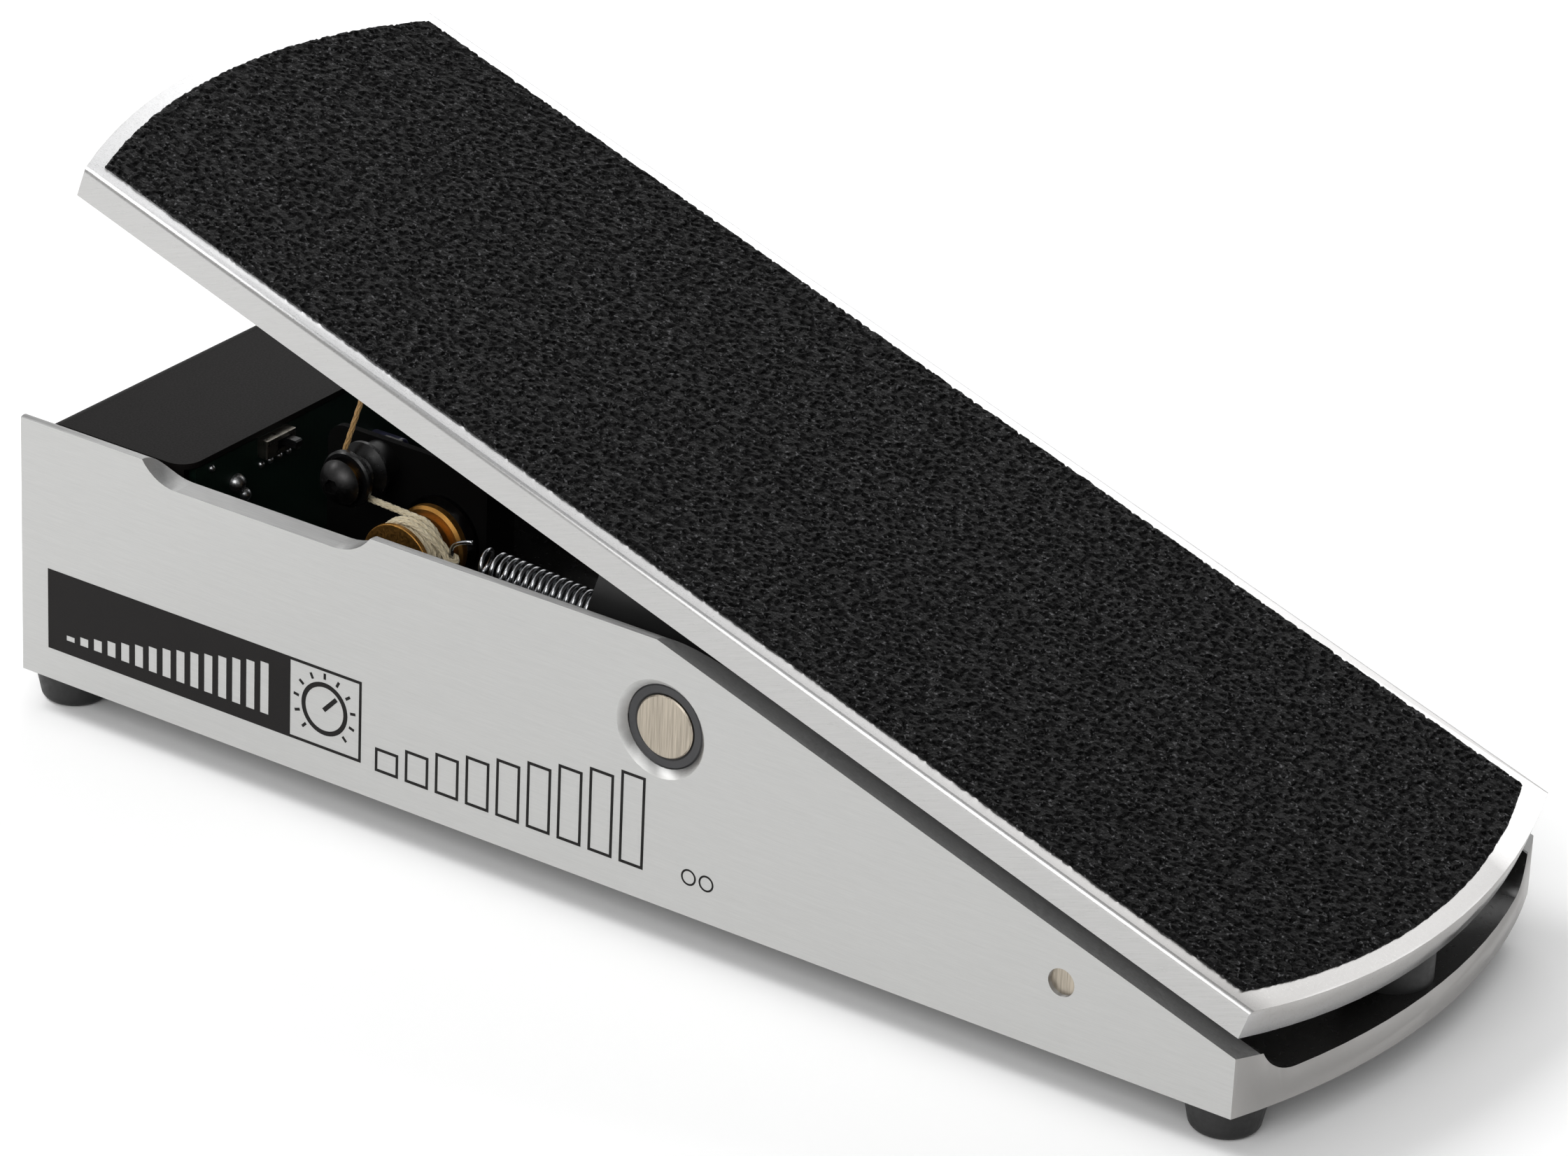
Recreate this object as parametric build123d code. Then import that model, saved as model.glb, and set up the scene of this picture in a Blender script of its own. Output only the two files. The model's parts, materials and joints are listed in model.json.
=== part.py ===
from build123d import *
import math
import os

# Foot volume pedal: a thick aluminium channel with a rocking aluminium treadle.
# Millimetres, +Z up, toe towards -X, heel towards +X. The mechanism sits on the -Y side.
# Working frame: X is measured from the toe corners of the channel walls, Z from its underside.
# Every part is moved to the frame of the whole pedal (bottom centre of its box) as it is saved.

# ---- driving dimensions -------------------------------------------------------------------
WIDTH = 108.0                    # channel and treadle, 4 1/4 in
LENGTH = 280.0                   # between the corners, both channel and treadle
WALL = 5.4                       # channel wall
FLOOR = 6.5                      # channel floor
WALL_TOP = 54.6                  # full height of the channel walls
WALL_LIP_R = 5.0                 # rounding of the inner top edge of the walls
FLOOR_FILLET = 8.5               # inside, between floor and walls
SLOPE_START = 152.5              # where the wall tops begin to fall to the heel
HEEL_WALL_TOP = 12.3             # wall height at the heel corners
END_BULGE = 9.9                  # how far the curved ends stand out past the corners
NOTCH_TOE = 30.5                 # finger notch in both wall tops
NOTCH_HEEL = 86.0
NOTCH_BOTTOM = 50.2
NOTCH_FLAT_TOE = 38.8
NOTCH_FLAT_HEEL = 77.3

PIVOT_X = 154.0
PIVOT_Z = 36.5
AXLE_R = 6.35                    # 1/2 in shaft
AXLE_INSET = 1.2                 # shaft ends below the wall face
AXLE_CHAMFER = 0.25
BUSH_R = 8.5
BUSH_INSET = 1.5
BUSH_CHAMFER = 0.35
BUSH_PLAY = 0.05
COUNTERSINK_R = 9.95
COUNTERSINK_DEPTH = 1.5

TREADLE_T = 6.4                  # 1/4 in plate
TREADLE_OVER_PIVOT = 21.0        # pivot to treadle underside
TREADLE_TILT = 18.45             # toe up, degrees
TREADLE_TOE = 154.0              # pivot to toe corners, along the plate
TREADLE_TOE_BULGE = 11.1
TREADLE_HEEL_BULGE = 9.7
TREADLE_EDGE_R = 1.0             # rounded long top edges
GRIP_T = 1.1

LUG_T = 10.2                     # pivot lugs, one beside each wall
LUG_HALF = 26.0
LUG_BOSS_R = 13.0
WASHER_T = 1.0                   # bush flange between wall and lug
LUG_GAP = 0.4

FOOT_H = 8.0
FOOT_TOP_R = 8.2
FOOT_BOTTOM_R = 6.5
FOOT_X = (5.0, 273.2)
FOOT_Y = 44.0
FOOT_SEAT = 4.2                  # height of the rubber left above the screw head

COVER_TOE = 0.0                  # jack cover, a bent sheet box at the toe end
COVER_HEEL = 36.0
COVER_HALF = 47.5
COVER_TOP = 52.0
SHEET = 1.2
COVER_BEND = 5.0
COVER_CORNER_R = 4.5             # rounded heel corners of its top
COVER_SIDE_DROP = 9.0            # depth of those corners below the top
COVER_TAB_Y = (30.0, 39.8)       # screw tabs on the floor
TAB_T = 2.0
BOARD_X = 34.0
BOARD_T = 1.6
BOARD_TOP = 50.4
BOARD_HALF = 44.0
BOARD_BOTTOM = 10.0

JACK_R = 3.25                    # 1/4 in plug bore
JACK_Y = (-27.0, 27.0)
JACK_Z = 34.2
JACK_THREAD_R = 4.7
JACK_BODY = (28.0, 16.0, 20.0)
JACK_TIP_X = -4.1                # toe end of the threaded sleeves
BORE_DEPTH = 27.0

BRACKET_Y = -14.5                # far face of the mechanism plate
BRACKET_T = 1.5
BRACKET_X = (46.0, 85.0)
BRACKET_TOP = 54.0
BRACKET_FLANGE_Y = -7.0          # far edge of the stiffening flange at its heel end
BRACKET_FOOT = 13.5
BRACKET_CORNER_R = 4.0

STRING_R = 0.7
STRING_Y = -23.7                 # plane of the string between idler and spool
IDLER_X = 59.1
IDLER_Z = 49.2
IDLER_GROOVE_R = 3.4
IDLER_R = 5.8
SPOOL_X = 74.5
SPOOL_Z = 37.4
SPOOL_CORE_R = 4.6
SPOOL_FLANGE_R = 8.0
SPOOL_STRING_R = 6.9             # centre line of the outer turns
SHAFT_R = 3.0
POT_R = 8.5
POT_DEPTH = 9.5

SPRING_Y = -25.5
SPRING_WIRE = 0.8
SPRING_R = 3.35                  # mean coil radius
SPRING_TOE = 94.5
SPRING_HEEL = 144.0
SPRING_TOE_Z = 40.2

SCREW_R = 2.0                    # M4 screws
SCREW_HEAD_R = 3.6
SCREW_HEAD_H = 2.2
FLAT_HEAD_R = 4.0
FLAT_HEAD_H = 2.0
COVER_SCREW_X = 20.0
COVER_SCREW_Y = 36.0
BRACKET_SCREWS = (54.0, 77.5)
BRACKET_SCREW_Y = -7.5
FOOT_SCREW_LENGTH = 9.0
BRACKET_SCREW_LENGTH = 5.5
LUG_SCREW_R = 2.5
LUG_HEAD_R = 5.0                 # countersunk heads in the treadle
LUG_HEAD_H = 2.6
LUG_SCREW_LENGTH = 17.0
LUG_FOOT_Z = 6.0                 # where the sides of a lug turn in to its boss
BUMPER_STEM_R = 1.8
TOE_BUMPER_R = 5.0
LUG_SCREW_U = 18.0
PIN_X = 243.3
PIN_Z = 14.8
PIN_R = 2.8

BUMPER_X = 280.5
BUMPER_R = 8.2
REST_GAP = 0.3

JACK_PINS = ((-4.6, 8.9), (-2.0, 5.5), (4.6, -6.0))
JACK_PIN_R = 0.6
JACK_NUT_T = 2.2
JACK_WASHER_R = 7.0
PIN_SOLDER_R = (2.0, 1.4, 1.4)
SWITCH_PADS = 5
SWITCH_PAD_PITCH = 2.8
SWITCH_PAD_START = (-23.9, 44.3)
SWITCH_PAD_R = 0.75
TEST_PAD = (-39.2, 48.9)
NUT_ACROSS = 12.7
SWITCH_Y = (-25.0, -16.0)
SWITCH_Z = (46.3, 50.2)
SWITCH_FRONT = 38.1
SWITCH_SHEET = 0.4
SWITCH_SLOT = (4.6, 1.1)         # length along Y, distance from the far end
SWITCH_SHOE = (2.8, 1.35)        # length along Y, half height
SWITCH_STEM = 0.85               # half height of the knob's stem
CONNECTOR_X = 41.5
LEAD_R = 0.6
LEAD_X = (70.0, 74.5, 79.0)
LEAD_Y = -9.0
LEAD_Z = (21.5, 19.0, 16.5)
TERMINAL_Z = 23.0
POT_SLEEVE_Y = -18.3
SPOOL_Y = (-31.0, -18.6)
IDLER_Y = (-27.3, -20.3)
IDLER_HEAD_Y = -29.0
IDLER_BORE_R = 2.65
BUTTON_R = 4.7                   # button head of the idler screw
BUTTON_H = 2.65
BUTTON_SOCKET_R = 1.6
BUSH_SHOULDER_R = 4.4
GROOVE_BOTTOM_R = 3.15
SPRING_FALL = 3.6                # degrees
EYELET_R = 1.6
KNOT_DEPTH = 3.0
GRIP_TOE = 152.2
GRIP_HEEL = 122.1
GRIP_HALF = 50.4
GRIP_TOE_BULGE = 9.5
GRIP_HEEL_BULGE = 10.0
TOE_BUMPER_U = -134.0
TOE_BUMPER_Y = (-30.0, 30.0)
TOE_BUMPER_H = 7.4
TREADLE_SWING = 17.5             # from rest to toe down

# ---- worked-out sizes ---------------------------------------------------------------------
HALF = WIDTH / 2
INNER = HALF - WALL
TILT = math.radians(TREADLE_TILT)
TREADLE_HEEL = LENGTH - TREADLE_TOE
HEEL_REACH = TREADLE_HEEL + TREADLE_HEEL_BULGE
BOX_HEEL_X = PIVOT_X + HEEL_REACH * math.cos(TILT) + (TREADLE_OVER_PIVOT + TREADLE_T) * math.sin(TILT)
MID_X = (BOX_HEEL_X - END_BULGE) / 2
LUG_OUT = INNER - WASHER_T - LUG_GAP
LUG_IN = LUG_OUT - LUG_T
STRING_GROOVE_R = IDLER_GROOVE_R + STRING_R
EYELET_U = -98.2                 # string hole along the treadle, from the pivot
EYELET_N = TREADLE_OVER_PIVOT - 0.8


def save(name, shape):
    """Write one node, moved from the working frame to the pedal's own frame."""
    placed = Pos(-MID_X, 0, FOOT_H) * shape
    export_step(placed, f"parts/{name}.step")


def disc(x, y0, z, radius, length):
    """Cylinder with its axis along +Y, starting at y0."""
    return Pos(x, y0 + length / 2, z) * Rot(90, 0, 0) * Cylinder(radius, length)


def rod_x(x0, y, z, radius, length):
    """Cylinder with its axis along +X, starting at x0."""
    return Pos(x0 + length / 2, y, z) * Rot(0, 90, 0) * Cylinder(radius, length)


def post(x, y, z0, radius, length):
    """Upright cylinder that starts at z0."""
    return Pos(x, y, z0 + length / 2) * Cylinder(radius, length)


def cone_post(x, y, z0, low_r, high_r, length):
    """Upright cone that starts at z0."""
    return Pos(x, y, z0 + length / 2) * Cone(low_r, high_r, length)


def block(x0, x1, y0, y1, z0, z1):
    """Box from its lowest and highest corners."""
    size = (x1 - x0, y1 - y0, z1 - z0)
    return Pos((x0 + x1) / 2, (y0 + y1) / 2, (z0 + z1) / 2) * Box(*size)


def plan(toe_x, heel_x, half, toe_bulge, heel_bulge):
    """Outline of a plate with straight sides and two outward curved ends, in the XY plane."""
    toe_arc = ThreePointArc((toe_x, half), (toe_x - toe_bulge, 0), (toe_x, -half))
    heel_arc = ThreePointArc((heel_x, -half), (heel_x + heel_bulge, 0), (heel_x, half))
    near = Line((toe_x, -half), (heel_x, -half))
    far = Line((heel_x, half), (toe_x, half))
    return make_face(Wire([toe_arc, near, heel_arc, far]))


def on_treadle(shape):
    """Place a shape drawn with the pivot at its origin and the plate level."""
    return Pos(PIVOT_X, 0, PIVOT_Z) * Rot(0, TREADLE_TILT, 0) * shape


def tube(points, radii, radius):
    """Round bar along straight runs joined by arcs."""
    if len(points) == 2:
        path = Line(*points)
    else:
        path = FilletPolyline(*points, radius=radii)
    start = Plane(origin=path @ 0, z_dir=path % 0)
    return sweep(start * Circle(radius), path=path)


def side_profile():
    """Side view of the channel, drawn in XZ: notch, level top and slope to the heel."""
    toe_rise = NOTCH_FLAT_TOE - NOTCH_TOE
    heel_rise = NOTCH_HEEL - NOTCH_FLAT_HEEL
    drop = WALL_TOP - NOTCH_BOTTOM
    toe_r = (toe_rise ** 2 + drop ** 2) / (2 * drop)
    heel_r = (heel_rise ** 2 + drop ** 2) / (2 * drop)
    far = END_BULGE + 5
    slope = (WALL_TOP - HEEL_WALL_TOP) / (LENGTH - SLOPE_START)
    end_top = HEEL_WALL_TOP - slope * far
    with BuildSketch(Plane.XZ) as sketch:
        with BuildLine():
            Line((-far, 0), (-far, WALL_TOP))
            Line((-far, WALL_TOP), (NOTCH_TOE, WALL_TOP))
            RadiusArc((NOTCH_TOE, WALL_TOP), (NOTCH_FLAT_TOE, NOTCH_BOTTOM), -toe_r)
            Line((NOTCH_FLAT_TOE, NOTCH_BOTTOM), (NOTCH_FLAT_HEEL, NOTCH_BOTTOM))
            RadiusArc((NOTCH_FLAT_HEEL, NOTCH_BOTTOM), (NOTCH_HEEL, WALL_TOP), -heel_r)
            Line((NOTCH_HEEL, WALL_TOP), (SLOPE_START, WALL_TOP))
            Line((SLOPE_START, WALL_TOP), (LENGTH + far, end_top))
            Line((LENGTH + far, end_top), (LENGTH + far, 0))
            Line((LENGTH + far, 0), (-far, 0))
        make_face()
    return sketch.sketch


def make_channel():
    """Extruded channel: rounded lips, curved ends, notch, slope and its holes."""
    outline = extrude(side_profile(), amount=HALF, both=True)
    body = outline & extrude(plan(0, LENGTH, HALF, END_BULGE, END_BULGE), amount=WALL_TOP + 1)
    reach = LENGTH + 4 * END_BULGE
    with BuildSketch(Plane.YZ) as bay:
        with BuildLine():
            corner = FLOOR + FLOOR_FILLET
            lip = WALL_TOP - WALL_LIP_R
            for side in (-1, 1):
                Line((0, FLOOR), (side * (INNER - FLOOR_FILLET), FLOOR))
                foot = (side * (INNER - FLOOR_FILLET * (1 - math.sqrt(0.5))),
                        FLOOR + FLOOR_FILLET * (1 - math.sqrt(0.5)))
                ThreePointArc((side * (INNER - FLOOR_FILLET), FLOOR), foot, (side * INNER, corner))
                Line((side * INNER, corner), (side * INNER, lip))
                knee = (side * (INNER + WALL_LIP_R * (1 - math.sqrt(0.5))),
                        lip + WALL_LIP_R * math.sqrt(0.5))
                edge = (side * (INNER + WALL_LIP_R), WALL_TOP)
                ThreePointArc((side * INNER, lip), knee, edge)
                Line(edge, (side * (INNER + WALL_LIP_R), WALL_TOP + 2))
            Line((-INNER - WALL_LIP_R, WALL_TOP + 2), (INNER + WALL_LIP_R, WALL_TOP + 2))
        make_face()
    body -= Pos(-2 * END_BULGE, 0, 0) * extrude(bay.sketch, amount=reach)
    for side in (-1, 1):
        wall_y = -HALF - 1 if side < 0 else INNER - 1
        body -= disc(PIVOT_X, wall_y, PIVOT_Z, BUSH_R, WALL + 2)
        sink = Rot(90, 0, 0) * Cone(BUSH_R, COUNTERSINK_R, COUNTERSINK_DEPTH)
        if side > 0:
            sink = Rot(-90, 0, 0) * Cone(BUSH_R, COUNTERSINK_R, COUNTERSINK_DEPTH)
        body -= Pos(PIVOT_X, side * (HALF - COUNTERSINK_DEPTH / 2), PIVOT_Z) * sink
        body -= disc(PIN_X, wall_y, PIN_Z, PIN_R, WALL + 2)
        for x in FOOT_X:
            body -= post(x, side * FOOT_Y, -1, SCREW_R, FLOOR)
        body -= post(COVER_SCREW_X, side * COVER_SCREW_Y, -1, SCREW_R, FLOOR + 2)
    for x in BRACKET_SCREWS:
        body -= post(x, BRACKET_SCREW_Y, FLOOR - 5, SCREW_R, 6)
    body -= post(BUMPER_X, 0, -1, SCREW_R, FLOOR + 2)
    body -= cone_post(BUMPER_X, 0, 0, FLAT_HEAD_R, SCREW_R, FLAT_HEAD_H)
    for side in (-1, 1):
        body -= cone_post(COVER_SCREW_X, side * COVER_SCREW_Y, 0, FLAT_HEAD_R, SCREW_R, FLAT_HEAD_H)
    return body


def flat_screw(x, y, length):
    """Countersunk screw driven up through the channel floor, its head flush with the underside."""
    head = cone_post(x, y, 0, FLAT_HEAD_R, SCREW_R, FLAT_HEAD_H)
    shank = post(x, y, 1.0, SCREW_R, length - 1.0)
    socket = extrude(RegularPolygon(1.25, 6), amount=1.4)
    return (head + shank) - Pos(x, y, -0.1) * socket


def panel_space():
    """Upright slab at the toe end that splits the jack panel from the cover above it."""
    half = COVER_HALF - SHEET
    return block(COVER_TOE - 1, COVER_TOE + SHEET, -half, half, FLOOR - 1, COVER_TOP - COVER_BEND)


def make_cover():
    """Sheet cover over the jacks: a top with a rounded toe edge and two sides."""
    outer = block(COVER_TOE, COVER_HEEL, -COVER_HALF, COVER_HALF, FLOOR, COVER_TOP)
    toe_top = outer.edges().filter_by(Axis.Y).sort_by(Axis.X)[0:2].sort_by(Axis.Z)[-1]
    outer = fillet(toe_top, COVER_BEND)
    inner = block(COVER_TOE, COVER_HEEL + 5, -COVER_HALF + SHEET, COVER_HALF - SHEET,
                  FLOOR - 1, COVER_TOP - SHEET)
    inner_top = inner.edges().filter_by(Axis.Y).sort_by(Axis.X)[0:2].sort_by(Axis.Z)[-1]
    cover = outer - Pos(SHEET, 0, 0) * fillet(inner_top, COVER_BEND - SHEET)
    # the sides clear the floor fillets of the channel
    clear_z = FLOOR + FLOOR_FILLET + 0.5
    corner_x = COVER_HEEL - COVER_CORNER_R
    corner_y = COVER_HALF - COVER_CORNER_R
    corner_z = COVER_TOP - SHEET - COVER_SIDE_DROP
    for side in (-1, 1):
        side_ys = sorted((side * (COVER_HALF - SHEET), side * (COVER_HALF + 1)))
        cover -= block(COVER_TOE - 1, COVER_HEEL + 1, *side_ys, FLOOR - 1, clear_z)
        corner_ys = sorted((side * corner_y, side * (COVER_HALF + 1)))
        corner = block(corner_x, COVER_HEEL + 1, *corner_ys, corner_z, COVER_TOP + 1)
        cover -= corner - post(corner_x, side * corner_y, corner_z - 1, COVER_CORNER_R, COVER_SIDE_DROP + 5)
    return cover - panel_space()


def make_jack_panel():
    """Upright plate that the two jacks are fastened to, with two screw tabs on the floor."""
    clear_z = FLOOR + FLOOR_FILLET + 0.5
    half = COVER_HALF - SHEET
    panel = block(COVER_TOE, COVER_TOE + SHEET, -half, half, FLOOR, COVER_TOP - COVER_BEND)
    for side in (-1, 1):
        side_ys = sorted((side * (COVER_HALF - FLOOR_FILLET), side * (COVER_HALF + 1)))
        panel -= block(COVER_TOE - 1, COVER_TOE + SHEET + 1, *side_ys, FLOOR - 1, clear_z)
        tab_ys = sorted(side * y for y in COVER_TAB_Y)
        panel += block(COVER_TOE + SHEET / 2, COVER_SCREW_X + 8, *tab_ys, FLOOR, FLOOR + TAB_T)
        panel -= post(COVER_SCREW_X, side * COVER_SCREW_Y, FLOOR - 1, SCREW_R, TAB_T + 2)
    for y in JACK_Y:
        panel -= rod_x(COVER_TOE - 1, y, JACK_Z, JACK_THREAD_R, SHEET + 2)
    return panel


def make_jack(y):
    """Quarter-inch jack: body behind the cover, threaded sleeve through it, blind plug bore."""
    length, width, height = JACK_BODY
    back = COVER_TOE + SHEET
    body = block(back, back + length, y - width / 2, y + width / 2,
                 JACK_Z - height / 2, JACK_Z + height / 2)
    body = chamfer(body.edges().filter_by(Axis.X), 1.0)
    sleeve = rod_x(JACK_TIP_X, y, JACK_Z, JACK_THREAD_R, back - JACK_TIP_X + 1)
    jack = body + sleeve
    jack -= rod_x(JACK_TIP_X - 1, y, JACK_Z, JACK_R, BORE_DEPTH + 1)
    for dy, dz in JACK_PINS:
        jack += rod_x(back + length - 1, y + dy, JACK_Z + dz, JACK_PIN_R, BOARD_X - back - length + 1)
    return jack


def make_jack_washers():
    rings = []
    for y in JACK_Y:
        ring = rod_x(COVER_TOE - WASHER_T, y, JACK_Z, JACK_WASHER_R, WASHER_T)
        rings.append(ring - rod_x(COVER_TOE - 2, y, JACK_Z, JACK_THREAD_R, 4))
    return Compound(rings)


def make_jack_nuts():
    nuts = []
    front = COVER_TOE - WASHER_T - JACK_NUT_T
    for y in JACK_Y:
        hexagon = Plane.YZ * RegularPolygon(NUT_ACROSS / 2, 6, major_radius=False)
        nut = Pos(front, y, JACK_Z) * extrude(hexagon, amount=JACK_NUT_T)
        nut &= rod_x(front, y, JACK_Z, NUT_ACROSS / 2 * 1.1, JACK_NUT_T)
        nuts.append(nut - rod_x(front - 1, y, JACK_Z, JACK_THREAD_R, JACK_NUT_T + 2))
    return Compound(nuts)


def make_board():
    """Upright circuit board behind the jacks, lower corners cut off."""
    board = block(BOARD_X, BOARD_X + BOARD_T, -BOARD_HALF, BOARD_HALF, BOARD_BOTTOM, BOARD_TOP)
    return chamfer(board.edges().filter_by(Axis.X).group_by(Axis.Z)[0], 4.0)


def solder(y, z, radius):
    """Rounded solder joint on the board's heel face."""
    face = BOARD_X + BOARD_T
    around = radius + 1
    return Pos(face, y, z) * Sphere(radius) & block(face, face + around, y - around, y + around,
                                                    z - around, z + around)


def make_solder():
    """Joints of the jack pins, the row of switch pads and one small test pad."""
    joints = [solder(y + dy, JACK_Z + dz, radius)
              for y in JACK_Y for (dy, dz), radius in zip(JACK_PINS, PIN_SOLDER_R)]
    first_y, pad_z = SWITCH_PAD_START
    joints += [solder(first_y + SWITCH_PAD_PITCH * i, pad_z, SWITCH_PAD_R) for i in range(SWITCH_PADS)]
    joints.append(solder(*TEST_PAD, SWITCH_PAD_R))
    return Compound(joints)


def make_board_components():
    """Two resistors and a small capacitor on the board's heel face."""
    face = BOARD_X + BOARD_T
    pieces = []
    for z in (24.0, 30.0):
        bar = Pos(face + 1.4, 22.0, z) * Rot(90, 0, 0) * Cylinder(1.15, 6.4)
        pieces.append(fillet(bar.edges(), 0.5))
    can = rod_x(face, 12.0, 36.0, 3.1, 7.0)
    pieces.append(fillet(can.edges().sort_by(Axis.X)[-1], 0.5))
    return Compound(pieces)


def make_connector():
    """Three-way header that takes the leads of the potentiometer."""
    face = BOARD_X + BOARD_T
    header = block(face, CONNECTOR_X, -3.0, 3.0, LEAD_Z[2] - 2.2, LEAD_Z[0] + 2.2)
    return chamfer(header.edges().filter_by(Axis.Y).sort_by(Axis.X)[-2:], 0.6)


def make_switch_frame():
    """Bent metal case of the slide switch, open to the board, with a slot for the knob."""
    face = BOARD_X + BOARD_T
    case = block(face, SWITCH_FRONT, *SWITCH_Y, *SWITCH_Z)
    case = fillet(case.edges().filter_by(Axis.Z).sort_by(Axis.X)[-2:], 0.35)
    case -= block(face - 1, SWITCH_FRONT - SWITCH_SHEET, SWITCH_Y[0] + SWITCH_SHEET,
                  SWITCH_Y[1] - SWITCH_SHEET, SWITCH_Z[0] + SWITCH_SHEET, SWITCH_Z[1] - SWITCH_SHEET)
    middle = sum(SWITCH_Z) / 2
    slot_length, slot_inset = SWITCH_SLOT
    slot_end = SWITCH_Y[1] - slot_inset
    case -= block(face, SWITCH_FRONT + 1, slot_end - slot_length, slot_end,
                  middle - SWITCH_STEM - 0.2, middle + SWITCH_STEM + 0.2)
    return case


def make_switch_knob():
    """Slider inside the case with a stem out through the slot, at the far end of its travel."""
    middle = sum(SWITCH_Z) / 2
    shoe_length, shoe_half = SWITCH_SHOE
    end = SWITCH_Y[1] - SWITCH_SLOT[1] - 0.2
    inside = SWITCH_FRONT - SWITCH_SHEET - 0.3
    shoe = block(BOARD_X + BOARD_T + 0.3, inside, end - shoe_length, end + 0.6,
                 middle - shoe_half, middle + shoe_half)
    stem = block(inside - 0.1, SWITCH_FRONT + 2.6, end - 2.0, end - 0.1,
                 middle - SWITCH_STEM, middle + SWITCH_STEM)
    return shoe + chamfer(stem.edges().filter_by(Axis.Y).sort_by(Axis.X)[-2:], 0.3)


def make_bracket():
    """Bent plate that carries the potentiometer and the idler, with a foot and an end flange."""
    far = BRACKET_Y
    toe, heel = BRACKET_X
    plate = block(toe, heel, far - BRACKET_T, far, FLOOR, BRACKET_TOP)
    top_edges = plate.edges().filter_by(Axis.Y).group_by(Axis.Z)[-1]
    plate = fillet(top_edges.sort_by(Axis.X)[0], BRACKET_CORNER_R)
    foot = block(toe, heel, far - 0.1, far + BRACKET_FOOT, FLOOR, FLOOR + BRACKET_T)
    flange = block(heel - BRACKET_T, heel, far - 0.1, BRACKET_FLANGE_Y, FLOOR, BRACKET_TOP)
    bracket = plate + foot + flange
    bracket -= disc(SPOOL_X, far - 3, SPOOL_Z, JACK_THREAD_R, 6)
    bracket -= disc(IDLER_X, far - 3, IDLER_Z, SCREW_R, 6)
    for x in BRACKET_SCREWS:
        bracket -= post(x, BRACKET_SCREW_Y, FLOOR - 1, SCREW_R, 4)
    return bracket


def pan_screw(x, y, under_head, length, head_up=True):
    """Pan head screw with its shank pointing away from the head, hex socket in the head."""
    way = 1 if head_up else -1
    head = Pos(x, y, under_head + way * SCREW_HEAD_H / 2) * Cylinder(SCREW_HEAD_R, SCREW_HEAD_H)
    outer = head.edges().sort_by(Axis.Z)[-1 if head_up else 0]
    head = fillet(outer, 0.9)
    shank = Pos(x, y, under_head - way * length / 2) * Cylinder(SCREW_R, length)
    socket = Pos(x, y, under_head + way * SCREW_HEAD_H) * Cylinder(1.2, 2.4)
    return head + shank - socket


def make_bracket_screws():
    top = FLOOR + BRACKET_T
    return Compound([pan_screw(x, BRACKET_SCREW_Y, top, BRACKET_SCREW_LENGTH) for x in BRACKET_SCREWS])


def make_foot(x, y):
    """Tapered rubber foot with a screw recess in its underside."""
    foot = Pos(x, y, -FOOT_H / 2) * Cone(FOOT_BOTTOM_R, FOOT_TOP_R, FOOT_H)
    foot = fillet(foot.edges().sort_by(Axis.Z)[0], 1.8)
    foot -= post(x, y, -FOOT_H - 1, SCREW_HEAD_R + 0.2, FOOT_H + 1 - FOOT_SEAT)
    return foot - post(x, y, -5, SCREW_R, 6)


def feet_places():
    return [(x, side * FOOT_Y) for x in FOOT_X for side in (-1, 1)]


def make_pot_body():
    """Potentiometer can behind the bracket, threaded sleeve through it and three terminals."""
    can = disc(SPOOL_X, BRACKET_Y, SPOOL_Z, POT_R, POT_DEPTH)
    can = fillet(can.edges().sort_by(Axis.Y)[-1], 1.2)
    sleeve = disc(SPOOL_X, POT_SLEEVE_Y, SPOOL_Z, JACK_THREAD_R, BRACKET_Y - POT_SLEEVE_Y + 1)
    pot = can + sleeve
    pot -= disc(SPOOL_X, POT_SLEEVE_Y - 1, SPOOL_Z, SHAFT_R + BUSH_PLAY, 9.5)
    for x in LEAD_X:
        pot += block(x - 1.0, x + 1.0, LEAD_Y - 0.4, LEAD_Y + 0.4, TERMINAL_Z, SPOOL_Z - POT_R + 3)
    return pot


def make_pot_washer():
    ring = disc(SPOOL_X, BRACKET_Y - BRACKET_T - 1.0, SPOOL_Z, 8.9, 1.0)
    return ring - disc(SPOOL_X, BRACKET_Y - 5, SPOOL_Z, JACK_THREAD_R, 6)


def make_pot_nut():
    front = BRACKET_Y - BRACKET_T - 1.0 - 1.2
    hexagon = extrude(Plane.XZ * RegularPolygon(6.5, 6, major_radius=False), amount=-1.2)
    nut = Pos(SPOOL_X, front, SPOOL_Z) * hexagon
    return nut - disc(SPOOL_X, front - 1, SPOOL_Z, JACK_THREAD_R, 4)


def make_spool():
    """Brass spool: blind bore, thin near flange, stepped far flange with a set screw hole."""
    near = SPOOL_Y[0]
    spool = disc(SPOOL_X, near, SPOOL_Z, SPOOL_FLANGE_R, 1.1)
    spool = fillet(spool.edges(), 0.25)
    spool += disc(SPOOL_X, near + 0.6, SPOOL_Z, SPOOL_CORE_R, SPOOL_Y[1] - near - 0.6)
    flange = disc(SPOOL_X, SPOOL_Y[1] - 2.0, SPOOL_Z, SPOOL_FLANGE_R, 2.0)
    flange = chamfer(flange.edges().sort_by(Axis.Y)[0], 0.6)
    spool += flange
    spool += disc(SPOOL_X, SPOOL_Y[1] - 3.0, SPOOL_Z, 6.5, 1.2)
    spool -= disc(SPOOL_X, near + 1.6, SPOOL_Z, SHAFT_R, 15)
    return spool - post(SPOOL_X, SPOOL_Y[1] - 1.0, SPOOL_Z - 9, 0.8, 7)


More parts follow.
